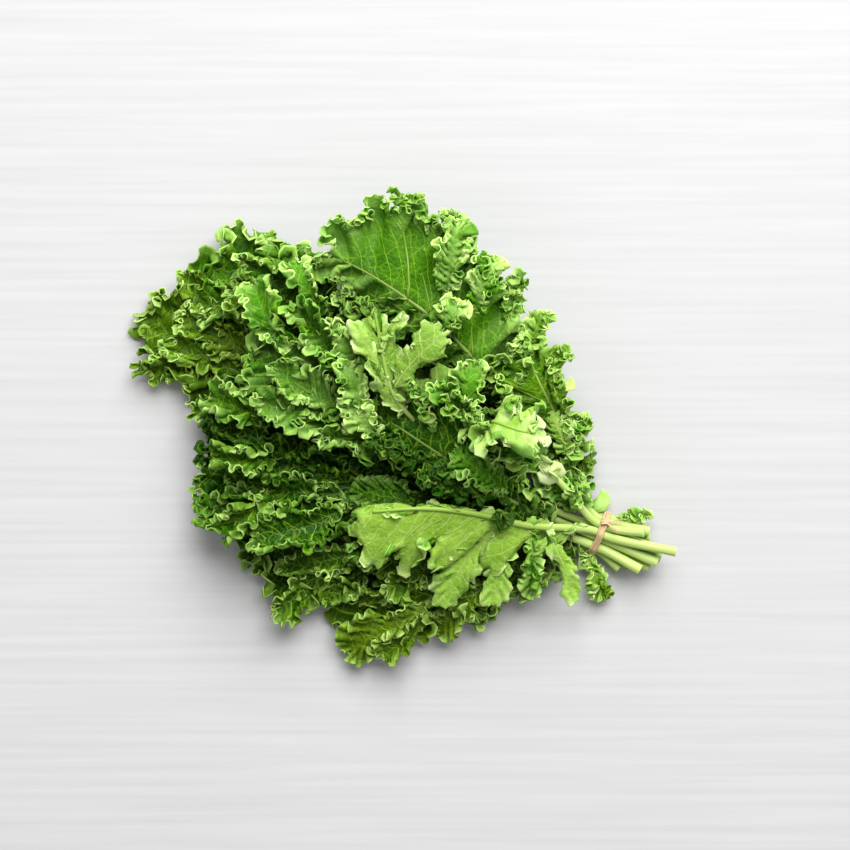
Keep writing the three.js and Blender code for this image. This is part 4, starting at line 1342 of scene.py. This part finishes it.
def make_tie():
    """Strands round the stems, a knot across them and two frayed ends."""
    rng = np.random.default_rng(5)
    pieces = Pieces()
    loop, outward = bundle_outline()
    turns = np.arange(TIE_STEPS) / TIE_STEPS * TAU
    zero = np.zeros(TIE_STEPS)
    for i in range(STRAND_COUNT):
        side = (i / (STRAND_COUNT - 1) - 0.5) * (TIE_WIDE - 2 * STRAND_WIDE)
        sway = side + STRAND_SWAY * np.sin(turns * rng.integers(1, 4) + rng.uniform(0, TAU))
        play = STRAND_PLAY * np.sin(turns * rng.integers(2, 5) + rng.uniform(0, TAU))
        yz = loop + outward * (STRAND_OFF + play)[:, None]
        path = np.stack([sway, yz[:, 0], yz[:, 1]], 1)
        up = np.stack([zero, outward[:, 0], outward[:, 1]], 1)
        across = unit(np.cross(ring_directions(path), up))
        twist = STRAND_TWIST * np.sin(turns * rng.integers(2, 4) + rng.uniform(0, TAU))
        cos, sin = np.cos(twist)[:, None], np.sin(twist)[:, None]
        turned, lifted = across * cos + up * sin, up * cos - across * sin
        pieces.add(*strand(path, turned, lifted, STRAND_WIDE, STRAND_THICK, STRAND_SIDES, True))
    # the knot: turns of raffia pulled tight across the band
    centre_yz = loop.mean(0)
    angle = np.arctan2(loop[:, 1] - centre_yz[1], loop[:, 0] - centre_yz[0])
    at = int(np.argmin(np.abs(angle - math.radians(KNOT_TURN))))
    out = np.array([0, outward[at, 0], outward[at, 1]])
    along = unit(np.cross(out, (1, 0, 0)))
    middle = np.array([0, loop[at, 0], loop[at, 1]]) + out * 1.3
    swing = np.arange(KNOT_STEPS) / KNOT_STEPS * TAU
    for i, (shift, slant) in enumerate(KNOT_TURNS):
        long_axis = unit(np.array([1.0, 0, 0]) + along * slant)
        reach = KNOT_LENGTH - 0.5 * abs(shift)
        path = middle + along * shift + np.outer(np.cos(swing) * reach, long_axis) \
            + np.outer(np.sin(swing) * (KNOT_HEIGHT - 0.15 * i), out)
        across = np.tile(along, (KNOT_STEPS, 1))
        up = unit(np.cross(across, ring_directions(path)))
        pieces.add(*strand(path, across, up, KNOT_WIDE, KNOT_THICK, STRAND_SIDES, True))
    # two loose ends, frayed into fibres at their tips
    for turn, lift, fibres in LOOSE_ENDS:
        heading = np.array([1.0, 0, 0]) * math.cos(math.radians(turn)) \
            + along * math.sin(math.radians(turn))
        for fibre in range(fibres):
            reach = rng.uniform(*FIBRE_LENGTH)
            share = np.linspace(0, 1, FIBRE_STEPS)
            spread = (fibre - (fibres - 1) / 2) * 0.55 * (0.4 + share**2 * 1.6)
            path = middle + np.outer(share * reach, heading) \
                + np.outer(spread, unit(np.cross(out, heading))) \
                + np.outer(lift * np.sin(share * 2.2) * 0.6 - share**2 * 1.5, out)
            across, up = frames_along(path, out)
            pieces.add(*strand(path, across, up, 0.5 - 0.3 * share, 0.22 - 0.1 * share, FIBRE_SIDES))
    tie = pieces.build("raffia_tie", [RAFFIA])
    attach(tie, "root")
    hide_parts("tie")


make_tie()


# ---- the table, the light and the camera ----

# half the table's side in metres, its two greys, its two roughnesses and its grain
TABLE_HALF = 3.0
TABLE_GREYS, TABLE_GLOSS = (0.515, 0.565), (0.55, 0.7)
GRAIN_PLACES, GRAIN_SIZE = (0.3, 0.7), (0.6, 0.016, 1)
# how far the camera is turned, and what it looks at, from the middle of the tie
VIEW_TURN = math.radians(22)
VIEW_AT = np.array([-140.3, 24.1, 0.0])
# the camera's height in metres, and its lens
VIEW_HEIGHT, VIEW_LENS = 1.30, 78.6
# the lamp's place to the right and up in the view and over the table, in metres
KEY_AT, KEY_POWER, KEY_SIZE = (0.5, 2.1, 2.4), 205.0, 2.8
# how bright the light from all round is
SKY = 0.38


def floor_material():
    """White-washed wood with faint grain."""
    material, tree = new_material("Pale table", DRY)
    turned = add_node(tree, "Mapping", vector_type="TEXTURE", rotation=(0, 0, VIEW_TURN),
                      scale=GRAIN_SIZE)
    tree.links.new(object_place(tree), turned.inputs["Vector"])
    grain = noise(tree, turned.outputs[0], scale=3.0, detail=5.0)["Fac"]
    colour = ramp(tree, grain, GRAIN_PLACES, TABLE_GREYS)
    return finish(material, colour, ramp(tree, grain, GRAIN_PLACES, TABLE_GLOSS))


def in_view(right, up, height):
    """A place given to the right and up as the camera sees the table, in metres."""
    cos, sin = math.cos(VIEW_TURN), math.sin(VIEW_TURN)
    centre = (BUNCH + VIEW_AT) * MM
    return (centre[0] + right * cos - up * sin, centre[1] + right * sin + up * cos, height)


bpy.ops.object.select_all(action="DESELECT")
bpy.ops.mesh.primitive_plane_add(size=2 * TABLE_HALF)
table = bpy.context.object
table.name = "table"
table.data.materials.append(floor_material())

world = bpy.data.worlds.new("Pale studio")
world.use_nodes = True
sky = world.node_tree.nodes["Background"]
sky.inputs["Color"].default_value = (1.0, 1.0, 1.0, 1)
sky.inputs["Strength"].default_value = SKY
bpy.context.scene.world = world

key = bpy.data.lights.new("Window", "AREA")
key.energy = KEY_POWER
key.size = KEY_SIZE
window = bpy.data.objects.new("Window", key)
bpy.context.collection.objects.link(window)
window.location = in_view(*KEY_AT)
aim = np.array(in_view(0, 0, 0)) - np.array(window.location)
window.rotation_euler = (
    math.atan2(math.hypot(aim[0], aim[1]), -aim[2]), 0, math.atan2(aim[1], aim[0]) - math.pi / 2)

lens = bpy.data.cameras.new("Camera")
lens.lens = VIEW_LENS
camera = bpy.data.objects.new("Camera", lens)
bpy.context.collection.objects.link(camera)
camera.location = in_view(0, 0, VIEW_HEIGHT)
camera.rotation_euler = (0, 0, VIEW_TURN)
bpy.context.scene.camera = camera
bpy.context.scene.view_settings.view_transform = "Standard"
